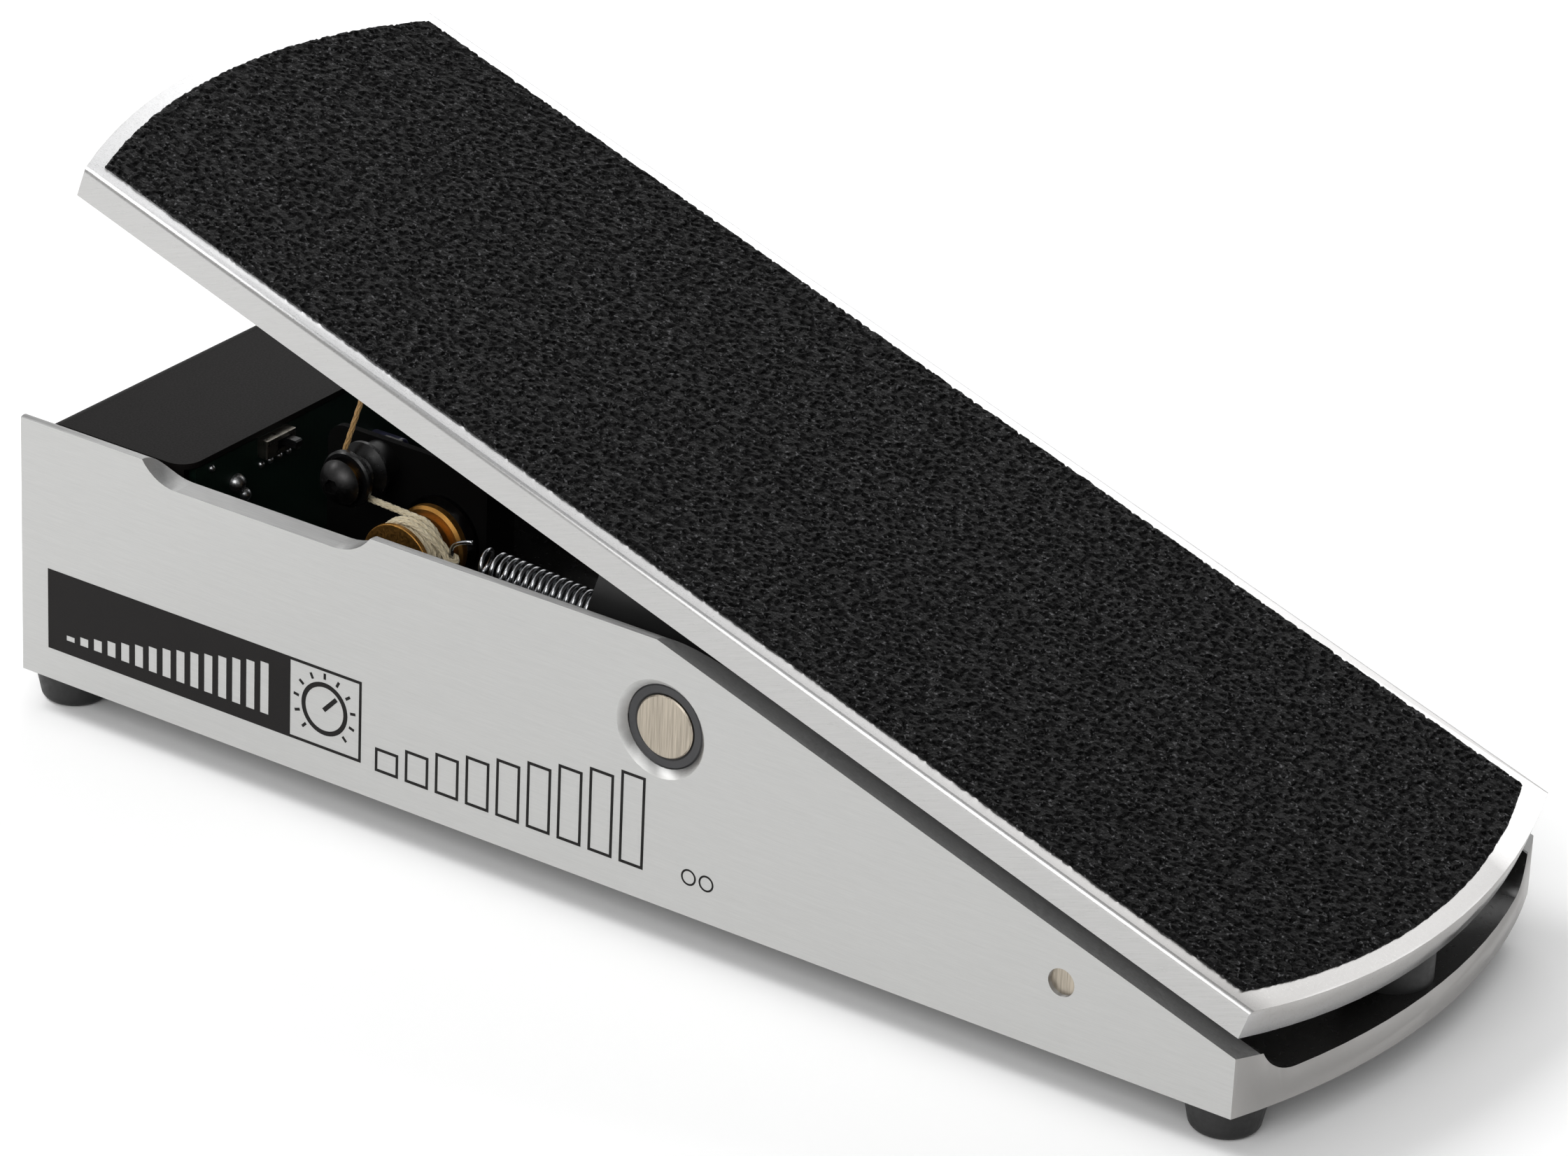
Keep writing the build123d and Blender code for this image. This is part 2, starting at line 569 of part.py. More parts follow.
def make_windings():
    ring = disc(SPOOL_X, SPOOL_Y[0] + 1.4, SPOOL_Z, 7.3, 4.9)
    ring = fillet(ring.edges(), 0.7)
    return ring - disc(SPOOL_X, SPOOL_Y[0], SPOOL_Z, SPOOL_CORE_R, 12)


def make_idler_pulley():
    """Grooved pulley: profile drawn along Y from the axis and turned about it."""
    with BuildSketch(Plane.YZ) as sketch:
        with BuildLine():
            Polyline((IDLER_Y[0] + 1.0, IDLER_BORE_R), (IDLER_Y[0] + 1.0, 4.3), (IDLER_Y[0], 4.6),
                     (IDLER_Y[0], IDLER_R - 0.4), (IDLER_Y[0] + 0.4, IDLER_R),
                     (IDLER_Y[0] + 1.2, IDLER_R), (STRING_Y - 0.9, IDLER_GROOVE_R + 0.1),
                     (STRING_Y - 0.5, GROOVE_BOTTOM_R), (STRING_Y + 0.5, GROOVE_BOTTOM_R),
                     (STRING_Y + 0.9, IDLER_GROOVE_R + 0.1), (IDLER_Y[1] - 1.2, IDLER_R),
                     (IDLER_Y[1] - 0.4, IDLER_R), (IDLER_Y[1], IDLER_R - 0.4),
                     (IDLER_Y[1], IDLER_BORE_R), close=True)
        make_face()
    return Pos(IDLER_X, 0, IDLER_Z) * revolve(sketch.sketch, Axis.Y)


def make_idler_screw():
    """Button head screw through bush and bracket, domed head with a hex socket."""
    under = IDLER_HEAD_Y
    rise = BUTTON_H
    radius = BUTTON_R
    with BuildSketch(Plane.YZ) as sketch:
        with BuildLine():
            Line((under, 0), (under, radius))
            ThreePointArc((under, radius), (under - 0.8 * rise, 0.57 * radius), (under - rise, 0))
            Line((under - rise, 0), (under, 0))
        make_face()
    head = Pos(IDLER_X, 0, IDLER_Z) * revolve(sketch.sketch, Axis.Y)
    hexagon = Plane.XZ * RegularPolygon(BUTTON_SOCKET_R, 6)
    socket = Pos(IDLER_X, under - 3, IDLER_Z) * extrude(hexagon, amount=-1.9)
    shank = disc(IDLER_X, under - 0.1, IDLER_Z, SCREW_R, BRACKET_Y + 3.6 - under)
    return head - socket + shank


def make_idler_bush():
    """Brass sleeve under the screw head with a wide shoulder against the bracket."""
    sleeve = disc(IDLER_X, IDLER_HEAD_Y, IDLER_Z, IDLER_BORE_R - BUSH_PLAY,
                  BRACKET_Y - BRACKET_T - IDLER_HEAD_Y)
    shoulder_y = IDLER_Y[1] + 0.3
    shoulder = disc(IDLER_X, shoulder_y, IDLER_Z, BUSH_SHOULDER_R, BRACKET_Y - BRACKET_T - shoulder_y)
    return sleeve + shoulder - disc(IDLER_X, IDLER_HEAD_Y - 1, IDLER_Z, SCREW_R, 16)


def make_idler_nut():
    hexagon = extrude(Plane.XZ * RegularPolygon(3.5, 6, major_radius=False), amount=-2.8)
    return Pos(IDLER_X, BRACKET_Y, IDLER_Z) * hexagon - disc(IDLER_X, BRACKET_Y - 1, IDLER_Z, SCREW_R, 6)


def string_points():
    """Tangent points of the string, treadle hole to idler to spool, in XZ at rest."""
    hole = (PIVOT_X + EYELET_U * math.cos(TILT) + EYELET_N * math.sin(TILT),
            PIVOT_Z - EYELET_U * math.sin(TILT) + EYELET_N * math.cos(TILT))
    reach = math.dist(hole, (IDLER_X, IDLER_Z))
    toward = math.atan2(hole[1] - IDLER_Z, hole[0] - IDLER_X)
    on_angle = toward + math.acos(STRING_GROOVE_R / reach)
    span = math.dist((IDLER_X, IDLER_Z), (SPOOL_X, SPOOL_Z))
    line = math.atan2(SPOOL_Z - IDLER_Z, SPOOL_X - IDLER_X)
    run = line + math.asin((STRING_GROOVE_R + SPOOL_STRING_R) / span)
    off_angle = run + 1.5 * math.pi
    return hole, on_angle, off_angle, run


def idler_point(angle):
    return (IDLER_X + STRING_GROOVE_R * math.cos(angle), IDLER_Z + STRING_GROOVE_R * math.sin(angle))


def make_string_riser():
    """Straight string between the treadle and the idler, just clear of both."""
    hole, on_angle, _, _ = string_points()
    low = idler_point(on_angle)
    way = Vector(hole[0] - low[0], 0, hole[1] - low[1]).normalized()
    start = Vector(low[0], STRING_Y, low[1]) + way * 0.3
    stop = Vector(hole[0], STRING_Y, hole[1]) - way * 0.3
    return tube([start, stop], None, STRING_R)


def make_string_run():
    """String round the underside of the idler and straight on to the top of the spool."""
    _, on_angle, off_angle, run = string_points()
    middle = (on_angle + off_angle) / 2
    points = [Vector(x, STRING_Y, z) for x, z in map(idler_point, (on_angle, middle, off_angle))]
    spool_top = Vector(SPOOL_X - SPOOL_STRING_R * math.sin(run), STRING_Y,
                       SPOOL_Z + SPOOL_STRING_R * math.cos(run))
    path = Wire([ThreePointArc(*points), Line(points[2], spool_top)])
    return sweep(Plane(origin=path @ 0, z_dir=path % 0) * Circle(STRING_R), path=path)


def make_spring():
    """Coil of the tension spring as a plain sleeve of its outer and inner diameters."""
    sleeve = Circle(SPRING_R + SPRING_WIRE / 2) - Circle(SPRING_R - SPRING_WIRE / 2)
    place = Pos(SPRING_TOE, SPRING_Y, SPRING_TOE_Z) * Rot(0, 90 + SPRING_FALL, 0)
    return place * extrude(sleeve, amount=spring_length())


def spring_length():
    return (SPRING_HEEL - SPRING_TOE) / math.cos(math.radians(SPRING_FALL))


def make_spring_hook():
    """Open hook bent from the toe end of the spring wire."""
    low = SPRING_TOE_Z - SPRING_R
    points = [(SPRING_TOE - REST_GAP - SPRING_WIRE / 2, SPRING_Y, low), (84.0, SPRING_Y, low - 0.4),
              (83.8, SPRING_Y, low + 5.2), (88.8, SPRING_Y, low + 7.2)]
    return tube(points, [2.2, 1.5], SPRING_WIRE / 2)


def make_spring_anchor():
    """Closed loop at the heel end of the spring, round the axle with clearance."""
    loop_r = AXLE_R + 0.35 + SPRING_WIRE / 2
    loop = Pos(PIVOT_X, SPRING_Y, PIVOT_Z) * Rot(90, 0, 0) * Torus(loop_r, SPRING_WIRE / 2)
    heel_z = SPRING_TOE_Z - (SPRING_HEEL - SPRING_TOE) * math.tan(math.radians(SPRING_FALL))
    link = tube([(SPRING_HEEL + REST_GAP, SPRING_Y, heel_z), (PIVOT_X - loop_r, SPRING_Y, PIVOT_Z + 0.4)],
                None, SPRING_WIRE / 2)
    return loop + link


def make_string_tail():
    return tube([(79.6, -27.6, 44.2), (82.2, -26.1, 41.7)], None, STRING_R)


def make_string_loop():
    """Turn of string round the spring hook."""
    ring = post(83.85, SPRING_Y, 38.6, 1.3, 1.4)
    ring = fillet(ring.edges(), 0.6)
    return ring - post(83.85, SPRING_Y, 38, SPRING_WIRE / 2 + 0.1, 3)


def make_leads():
    """Three insulated leads from the potentiometer terminals to the header on the board."""
    leads = []
    for i, x in enumerate(LEAD_X):
        low = 17.0 - 2.5 * i
        points = [(CONNECTOR_X, 0, LEAD_Z[i]), (CONNECTOR_X + 7, 0, LEAD_Z[i]),
                  (55 + i, LEAD_Y, low), (x, LEAD_Y, low), (x, LEAD_Y, TERMINAL_Z)]
        leads.append(tube(points, [6.0, 6.0, 2.4], LEAD_R))
    return Compound(leads)


def make_axle_bush(side):
    """Plain bearing in one wall, flanged on the inside."""
    sleeve = disc(PIVOT_X, INNER - WASHER_T, PIVOT_Z, BUSH_R, WALL + WASHER_T - BUSH_INSET)
    flange = disc(PIVOT_X, INNER - WASHER_T, PIVOT_Z, BUSH_R + 2, WASHER_T)
    bush = sleeve + flange - disc(PIVOT_X, INNER - 3, PIVOT_Z, AXLE_R + BUSH_PLAY, 12)
    bush = chamfer(bush.edges().group_by(Axis.Y)[-1], BUSH_CHAMFER)
    return bush if side > 0 else mirror(bush, Plane.XZ)


def make_axle():
    reach = HALF - AXLE_INSET
    shaft = disc(PIVOT_X, -reach, PIVOT_Z, AXLE_R, 2 * reach)
    return chamfer(shaft.edges().filter_by(GeomType.CIRCLE), AXLE_CHAMFER)


def make_heel_bumper():
    """Rubber post under the heel of the treadle, its top parallel to the treadle at rest."""
    bumper = post(BUMPER_X, 0, FLOOR, BUMPER_R, 20)
    slab = block(-80, 80, -40, 40, -60, TREADLE_OVER_PIVOT - REST_GAP)
    space = Pos(PIVOT_X, 0, PIVOT_Z) * Rot(0, TREADLE_TILT, 0) * (Pos(TREADLE_HEEL, 0, 0) * slab)
    bumper &= space
    return bumper - post(BUMPER_X, 0, FLOOR - 1, SCREW_R, 6)


def make_treadle_plate():
    """Flat plate with curved ends, drawn level with the pivot at the origin."""
    outline = plan(-TREADLE_TOE, TREADLE_HEEL, HALF, TREADLE_TOE_BULGE, TREADLE_HEEL_BULGE)
    plate = Pos(0, 0, TREADLE_OVER_PIVOT) * extrude(outline, amount=TREADLE_T)
    long_edges = plate.edges().filter_by(GeomType.LINE).filter_by(Axis.X).group_by(Axis.Z)[-1]
    plate = fillet(long_edges, TREADLE_EDGE_R)
    top = TREADLE_OVER_PIVOT + TREADLE_T
    for u, y in lug_screw_places():
        plate -= post(u, y, TREADLE_OVER_PIVOT - 1, LUG_SCREW_R, TREADLE_T + 2)
        plate -= cone_post(u, y, top - LUG_HEAD_H, LUG_SCREW_R, LUG_HEAD_R, LUG_HEAD_H)
    plate -= post(EYELET_U, STRING_Y, TREADLE_OVER_PIVOT - 1, EYELET_R, TREADLE_T)
    plate -= post(EYELET_U, STRING_Y, top - KNOT_DEPTH, EYELET_R + 1.0, KNOT_DEPTH + 1)
    for y in TOE_BUMPER_Y:
        plate -= post(TOE_BUMPER_U, y, TREADLE_OVER_PIVOT - 1, BUMPER_STEM_R, 5)
    return on_treadle(plate)


def lug_screw_places():
    middle = (LUG_IN + LUG_OUT) / 2
    return [(u, side * middle) for u in (-LUG_SCREW_U, LUG_SCREW_U) for side in (-1, 1)]


def make_lug_screws():
    top = TREADLE_OVER_PIVOT + TREADLE_T
    screws = []
    for u, y in lug_screw_places():
        screw = post(u, y, top - LUG_SCREW_LENGTH, LUG_SCREW_R, LUG_SCREW_LENGTH - 2)
        screw += cone_post(u, y, top - LUG_HEAD_H, LUG_SCREW_R, LUG_HEAD_R, LUG_HEAD_H)
        screws.append(on_treadle(screw - Pos(u, y, top - 2) * extrude(RegularPolygon(1.7, 6), amount=3)))
    return Compound(screws)


def make_lug(side):
    """Block under the treadle that clamps the axle, rounded below the shaft."""
    drop = math.sqrt(LUG_HALF ** 2 - LUG_BOSS_R ** 2)
    touch = LUG_BOSS_R * drop / LUG_HALF
    touch_z = -touch * LUG_BOSS_R / drop
    with BuildSketch(Plane.XZ) as sketch:
        with BuildLine():
            Polyline((-touch, touch_z), (-LUG_HALF, LUG_FOOT_Z), (-LUG_HALF, TREADLE_OVER_PIVOT),
                     (LUG_HALF, TREADLE_OVER_PIVOT), (LUG_HALF, LUG_FOOT_Z), (touch, touch_z))
            Line((touch, touch_z), (-touch, touch_z))
        make_face()
    lug = extrude(sketch.sketch, amount=-LUG_T)
    lug += Rot(90, 0, 0) * Pos(0, 0, -LUG_T / 2) * Cylinder(LUG_BOSS_R, LUG_T)
    lug = Pos(0, LUG_IN, 0) * lug
    middle = (LUG_IN + LUG_OUT) / 2
    lug -= disc(0, LUG_IN - 1, 0, AXLE_R, LUG_T + 2)
    lug -= post(0, middle, -LUG_BOSS_R - 1, SCREW_R, LUG_BOSS_R)
    for u in (-LUG_SCREW_U, LUG_SCREW_U):
        lug -= post(u, middle, TREADLE_OVER_PIVOT - 11, LUG_SCREW_R, 12)
    if side < 0:
        lug = mirror(lug, Plane.XZ)
    return on_treadle(lug)


def make_lug_set_screws():
    middle = (LUG_IN + LUG_OUT) / 2
    length = LUG_BOSS_R - AXLE_R - 1
    screws = []
    for side in (-1, 1):
        screw = post(0, side * middle, -AXLE_R - length, SCREW_R, length)
        socket = Pos(0, side * middle, -AXLE_R - length - 1) * extrude(RegularPolygon(1.1, 6), amount=3)
        screws.append(on_treadle(screw - socket))
    return Compound(screws)


def make_grip():
    outline = plan(-GRIP_TOE, GRIP_HEEL, GRIP_HALF, GRIP_TOE_BULGE, GRIP_HEEL_BULGE)
    return on_treadle(Pos(0, 0, TREADLE_OVER_PIVOT + TREADLE_T) * extrude(outline, amount=GRIP_T))


def make_eyelet():
    """Brass ferrule that lines the string hole, flanged below the treadle."""
    seat = TREADLE_OVER_PIVOT + TREADLE_T - KNOT_DEPTH
    ferrule = post(EYELET_U, STRING_Y, EYELET_N, EYELET_R, seat - EYELET_N)
    ferrule += post(EYELET_U, STRING_Y, EYELET_N, EYELET_R + 1.0, TREADLE_OVER_PIVOT - EYELET_N)
    return on_treadle(ferrule - post(EYELET_U, STRING_Y, EYELET_N - 1, STRING_R, 8))


def make_knot():
    """End of the string: through the ferrule to a knot in its counterbore."""
    seat = TREADLE_OVER_PIVOT + TREADLE_T - KNOT_DEPTH
    knot = post(EYELET_U, STRING_Y, seat, EYELET_R + 0.7, KNOT_DEPTH - 0.4)
    knot = fillet(knot.edges(), 0.9)
    return on_treadle(knot + post(EYELET_U, STRING_Y, EYELET_N, STRING_R, seat - EYELET_N + 1))


def make_toe_bumpers():
    """Rubber buttons under the toe of the treadle that land on the jack cover."""
    buttons = []
    for y in TOE_BUMPER_Y:
        button = post(TOE_BUMPER_U, y, TREADLE_OVER_PIVOT - TOE_BUMPER_H, TOE_BUMPER_R, TOE_BUMPER_H)
        button = fillet(button.edges().sort_by(Axis.Z)[0], 1.5)
        stem = post(TOE_BUMPER_U, y, TREADLE_OVER_PIVOT - 1, BUMPER_STEM_R, 5)
        buttons.append(on_treadle(button + stem))
    return Compound(buttons)


def print_couplings():
    """String travel over the treadle's swing, and the motion that it gives the other bodies."""
    def length(tilt):
        x = PIVOT_X + EYELET_U * math.cos(tilt) + EYELET_N * math.sin(tilt)
        z = PIVOT_Z - EYELET_U * math.sin(tilt) + EYELET_N * math.cos(tilt)
        reach = math.dist((x, z), (IDLER_X, IDLER_Z))
        angle = math.atan2(z - IDLER_Z, x - IDLER_X) + math.acos(STRING_GROOVE_R / reach)
        return math.sqrt(reach ** 2 - STRING_GROOVE_R ** 2) - STRING_GROOVE_R * angle
    swing = math.radians(TREADLE_SWING)
    travel = length(TILT) - length(TILT - swing)
    print(f"string travel {travel:.3f} mm over {TREADLE_SWING} degrees")
    print(f"spring hook {travel / swing / 1000:.5f} m per rad")
    print(f"spool {travel / SPOOL_STRING_R / swing:.4f} and idler {travel / STRING_GROOVE_R / swing:.4f}")
    print(f"middle of the box at x {MID_X:.3f}, pivot at x {PIVOT_X - MID_X:.3f} z {PIVOT_Z + FOOT_H:.3f}")


def main():
    os.makedirs("parts", exist_ok=True)
    save("base_channel", make_channel())
    save("feet", Compound([make_foot(x, y) for x, y in feet_places()]))
    save("foot_screws", Compound([pan_screw(x, y, -FOOT_SEAT, FOOT_SCREW_LENGTH, False)
                                  for x, y in feet_places()]))
    save("jack_cover", make_cover())
    save("jack_panel", make_jack_panel())
    save("cover_screws", Compound([flat_screw(COVER_SCREW_X, side * COVER_SCREW_Y, FLOOR + 1.8)
                                   for side in (-1, 1)]))
    save("input_jack", make_jack(JACK_Y[0]))
    save("output_jack", make_jack(JACK_Y[1]))
    save("jack_washers", make_jack_washers())
    save("jack_nuts", make_jack_nuts())
    save("circuit_board", make_board())
    save("solder_joints", make_solder())
    save("board_components", make_board_components())
    save("lead_connector", make_connector())
    save("slide_switch_case", make_switch_frame())
    save("slide_switch_knob", make_switch_knob())
    save("mechanism_bracket", make_bracket())
    save("bracket_screws", make_bracket_screws())
    save("potentiometer", make_pot_body())
    save("potentiometer_washer", make_pot_washer())
    save("potentiometer_nut", make_pot_nut())
    save("potentiometer_leads", make_leads())
    save("potentiometer_shaft", disc(SPOOL_X, SPOOL_Y[0] + 1.6, SPOOL_Z, SHAFT_R, 19.6))
    save("string_spool", make_spool())
    save("spool_set_screw", post(SPOOL_X, SPOOL_Y[1] - 1.0, SPOOL_Z - 7.6, 0.8, 4.6))
    save("string_windings", make_windings())
    save("idler_screw", make_idler_screw())
    save("idler_bush", make_idler_bush())
    save("idler_nut", make_idler_nut())
    save("idler_pulley", make_idler_pulley())
    save("string_riser", make_string_riser())
    save("string_run", make_string_run())
    save("string_tail", make_string_tail())
    save("string_loop", make_string_loop())
    save("spring_hook", make_spring_hook())
    save("tension_spring", make_spring())
    save("spring_anchor", make_spring_anchor())
    save("axle_bush_near", make_axle_bush(-1))
    save("axle_bush_far", make_axle_bush(1))
    save("heel_cross_rod", disc(PIN_X, -HALF + 1, PIN_Z, PIN_R, WIDTH - 2))
    save("heel_bumper", make_heel_bumper())
    save("heel_bumper_screw", flat_screw(BUMPER_X, 0, FLOOR + 5))
    save("axle_shaft", make_axle())
    save("pivot_lug_near", make_lug(-1))
    save("pivot_lug_far", make_lug(1))
    save("lug_screws", make_lug_screws())
    save("lug_set_screws", make_lug_set_screws())
    save("treadle_plate", make_treadle_plate())
    save("grip_sheet", make_grip())
    save("string_eyelet", make_eyelet())
    save("string_knot", make_knot())
    save("toe_bumpers", make_toe_bumpers())
    print_couplings()


main()
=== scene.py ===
import json
import math

import bpy
import numpy as np
from mathutils import Matrix, Vector, noise


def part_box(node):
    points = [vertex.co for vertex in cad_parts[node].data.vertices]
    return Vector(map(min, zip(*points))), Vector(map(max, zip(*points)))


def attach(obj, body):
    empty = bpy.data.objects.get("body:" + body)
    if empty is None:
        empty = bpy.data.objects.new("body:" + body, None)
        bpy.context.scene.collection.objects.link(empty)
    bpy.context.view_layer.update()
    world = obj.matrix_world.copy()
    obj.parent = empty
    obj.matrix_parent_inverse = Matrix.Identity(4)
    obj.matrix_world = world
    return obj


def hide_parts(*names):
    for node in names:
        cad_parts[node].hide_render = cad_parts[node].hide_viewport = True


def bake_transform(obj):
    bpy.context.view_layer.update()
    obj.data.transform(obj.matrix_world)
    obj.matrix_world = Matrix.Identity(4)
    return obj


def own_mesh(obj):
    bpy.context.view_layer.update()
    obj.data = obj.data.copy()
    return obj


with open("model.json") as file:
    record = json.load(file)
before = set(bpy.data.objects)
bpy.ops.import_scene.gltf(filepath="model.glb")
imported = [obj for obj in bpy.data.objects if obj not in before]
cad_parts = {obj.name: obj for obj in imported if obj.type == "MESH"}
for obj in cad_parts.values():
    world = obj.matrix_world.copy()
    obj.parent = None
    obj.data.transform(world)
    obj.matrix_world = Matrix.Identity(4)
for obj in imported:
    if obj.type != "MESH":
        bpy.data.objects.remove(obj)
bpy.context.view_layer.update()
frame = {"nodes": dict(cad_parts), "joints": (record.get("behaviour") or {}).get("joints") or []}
nodes = frame["nodes"]
joints = {j["name"]: j for j in frame["joints"]}

# ---- places in the shared frame -----------------------------------------------------------
MM = 0.001
END_BULGE = 9.9 * MM                       # the channel's curved ends stand out past its corners
WALL_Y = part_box("base_channel")[0].y       # outer face of the near wall
TOE_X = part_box("base_channel")[0].x + END_BULGE
UNDER_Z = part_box("base_channel")[0].z
PIVOT = Vector(joints["treadle_hinge"]["pos_m"])
TILT = math.radians(18.45)                 # treadle at rest, toe up
PLATE_TOP = 27.4                           # treadle's upper face above the pivot, mm


def at(x, y, z):
    """Point from mm behind the channel's toe corners, across, and above its underside."""
    return Vector((TOE_X + x * MM, y * MM, UNDER_Z + z * MM))


def on_treadle(u, y, n):
    """Point from mm along the treadle behind the pivot, across, and out from the pivot."""
    x = u * math.cos(TILT) + n * math.sin(TILT)
    z = -u * math.sin(TILT) + n * math.cos(TILT)
    return PIVOT + Vector((x, y, z)) * MM


# ---- materials ----------------------------------------------------------------------------
LOW, HIGH = 0.3, 0.7                       # usual range of a noise value
FACES_FROM, FACES_FULLY = 0.55, 0.8        # part of the normal where a face counts as a side or an end
PAINT_BOTTOM, PAINT_TOP = 6.3, 17.0        # painted fillets and floor, mm above the channel's underside
PAINT_HALF = 48.55                         # half width of the painted floor, mm
BUSH_SPLIT_Y = -20.3 * MM                  # brass on the near side of this, black beyond
PART_SPLIT_Y = 16 * MM                     # resistor before this, capacitor beyond
SLEEVE_LENGTH = 0.6 * MM                   # bright sleeve in front of the jack panel


class Finish:
    """A node material under construction."""

    def __init__(self, name, colour=(0.5, 0.5, 0.5), rough=0.5, metal=0.0, specular=0.5):
        self.mat = bpy.data.materials.new(name)
        self.mat.use_nodes = True
        self.tree = self.mat.node_tree
        self.shader = self.tree.nodes["Principled BSDF"]
        self.put("Base Color", (*colour, 1))
        self.put("Roughness", rough)
        self.put("Metallic", metal)
        self.put("Specular IOR Level", specular)

    def put(self, socket, value):
        if isinstance(value, bpy.types.NodeSocket):
            self.tree.links.new(value, self.shader.inputs[socket])
        else:
            self.shader.inputs[socket].default_value = value

    def node(self, kind, settings=(), **inputs):
        made = self.tree.nodes.new("ShaderNode" + kind)
        for key, value in dict(settings).items():
            setattr(made, key, value)
        for key, value in inputs.items():
            name = int(key[1:]) if key[0] == "_" else key.replace("_", " ")
            if isinstance(value, bpy.types.NodeSocket):
                self.tree.links.new(value, made.inputs[name])
            else:
                made.inputs[name].default_value = value
        return made

    def place(self, scale=(1, 1, 1), turn=(0, 0, 0)):
        """Object coordinates in metres, turned and then scaled."""
        coords = self.node("TexCoord").outputs["Object"]
        turned = self.node("Mapping", Vector=coords, Rotation=turn).outputs[0]
        return self.node("Mapping", Vector=turned, Scale=scale).outputs[0]

    def noise(self, where, scale=1.0, detail=2.0, rough=0.5):
        return self.node("TexNoise", Vector=where, Scale=scale, Detail=detail,
                         Roughness=rough).outputs["Fac"]

    def math(self, how, a, b=0.0, clamp=False):
        made = self.node("Math", {"operation": how, "use_clamp": clamp}, _0=a, _1=b)
        return made.outputs[0]

    def span(self, value, low, high, to_low=0.0, to_high=1.0):
        """Value from low..high to to_low..to_high, held at the ends."""
        made = self.node("MapRange", {}, Value=value, From_Min=low, From_Max=high,
                         To_Min=to_low, To_Max=to_high)
        return made.outputs[0]

    def mix(self, share, a, b):
        made = self.node("Mix", {"data_type": "RGBA"}, _0=share)
        for index, value in ((6, a), (7, b)):
            if isinstance(value, bpy.types.NodeSocket):
                self.tree.links.new(value, made.inputs[index])
            else:
                made.inputs[index].default_value = (*value, 1)
        return made.outputs[2]

    def bump(self, height, strength, distance, after=None):
        made = self.node("Bump", {}, Height=height, Strength=strength, Distance=distance)
        if after is not None:
            self.tree.links.new(after, made.inputs["Normal"])
        return made.outputs[0]

    def part(self, output, source):
        """X, Y or Z of a vector."""
        return self.node("SeparateXYZ", {}, Vector=source).outputs[output]


def brushed(name, turn, side, top, end, gloss):
    """Aluminium brushed along its length, with smooth curved ends; sides, tops and ends get separate base
    tones as painted light and shade, the ends painted darker.
    """
    f = Finish(name, rough=0.4, metal=1.0)
    fine = f.noise(f.place((170, 5200, 5200), turn), 1.0, 3.0, 0.65)
    long = f.noise(f.place((40, 1500, 1500), turn), 1.0, 2.0, 0.5)
    cloud = f.noise(f.place((9, 9, 9)), 1.0, 1.0)
    normal = f.node("TexCoord").outputs["Normal"]
    across = f.math("ABSOLUTE", f.part("Y", normal))
    along = f.math("ABSOLUTE", f.part("X", f.node("Mapping", Vector=normal, Rotation=turn).outputs[0]))
    is_side = f.span(across, FACES_FROM, FACES_FULLY)
    is_end = f.span(along, FACES_FROM, FACES_FULLY)
    # painted light and shade: the base tone is chosen by which way the face looks
    body = f.mix(is_side, top, side)
    body = f.mix(is_end, body, end)
    streak = f.math("ADD", f.span(fine, 0.25, 0.75, -0.07, 0.07), f.span(long, LOW, HIGH, -0.012, 0.012))
    streak = f.math("MULTIPLY", streak, f.span(is_side, 0, 1, 2.2, 1.0))
    streak = f.math("MULTIPLY", streak, f.span(is_end, 0, 1, 1.0, 0.25))
    streak = f.math("ADD", streak, f.span(cloud, LOW, HIGH, 0.985, 1.015))
    shade = f.node("VectorMath", {"operation": "SCALE"}, _0=body, Scale=streak).outputs[0]
    rough = f.span(fine, 0.25, 0.75, gloss * 0.84, gloss * 1.16)
    height = f.math("MULTIPLY", fine, f.span(is_end, 0, 1, 1.0, 0.1))
    f.put("Normal", f.bump(height, 0.16, 0.00004))
    f.put("Anisotropic", 0.75)
    along_brush = f.node("CombineXYZ", {}, _0=math.cos(turn[1]), _1=0.0, _2=-math.sin(turn[1])).outputs[0]
    spread = f.node("VectorMath", {"operation": "CROSS_PRODUCT"}, _0=normal, _1=along_brush)
    f.put("Tangent", spread.outputs[0])
    return f, shade, rough, normal


def channel_metal():
    """Bare outside and cut faces, black paint on the inner walls, fillets and floor."""
    # painted light and shade: the tops are painted darkest and the curved ends darker than the pale sides
    f, shade, rough, normal = brushed("channel_aluminium", (0, 0, 0), (0.60, 0.60, 0.59),
                                      (0.34, 0.34, 0.337), (0.42, 0.41, 0.40), 0.50)
    where = f.node("TexCoord").outputs["Object"]
    y = f.part("Y", where)
    z = f.part("Z", where)
    inward = f.math("MULTIPLY", f.math("SIGN", y), f.part("Y", normal))
    wall = f.math("LESS_THAN", inward, -0.6)
    low = f.math("MULTIPLY", f.math("LESS_THAN", z, UNDER_Z + PAINT_TOP * MM),
                 f.math("GREATER_THAN", z, UNDER_Z + PAINT_BOTTOM * MM))
    inside = f.math("LESS_THAN", f.math("ABSOLUTE", y), PAINT_HALF * MM)
    facing = f.node("NewGeometry").outputs["True Normal"]
    up = f.math("GREATER_THAN", f.part("Z", facing), 0.2)
    floor = f.math("MULTIPLY", f.math("MULTIPLY", low, inside), up)
    paint = f.math("MAXIMUM", wall, floor)
    mottle = f.noise(f.place((900, 900, 900)), 1.0, 3.0)
    painted = f.span(mottle, LOW, HIGH, 0.24, 0.28)
    f.put("Base Color", f.mix(paint, shade, (0.016, 0.0155, 0.015)))
    f.put("Roughness", f.node("Mix", {"data_type": "FLOAT"}, _0=paint, _2=rough, _3=painted).outputs[0])
    f.put("Metallic", f.math("SUBTRACT", 1.0, paint))
    return f.mat


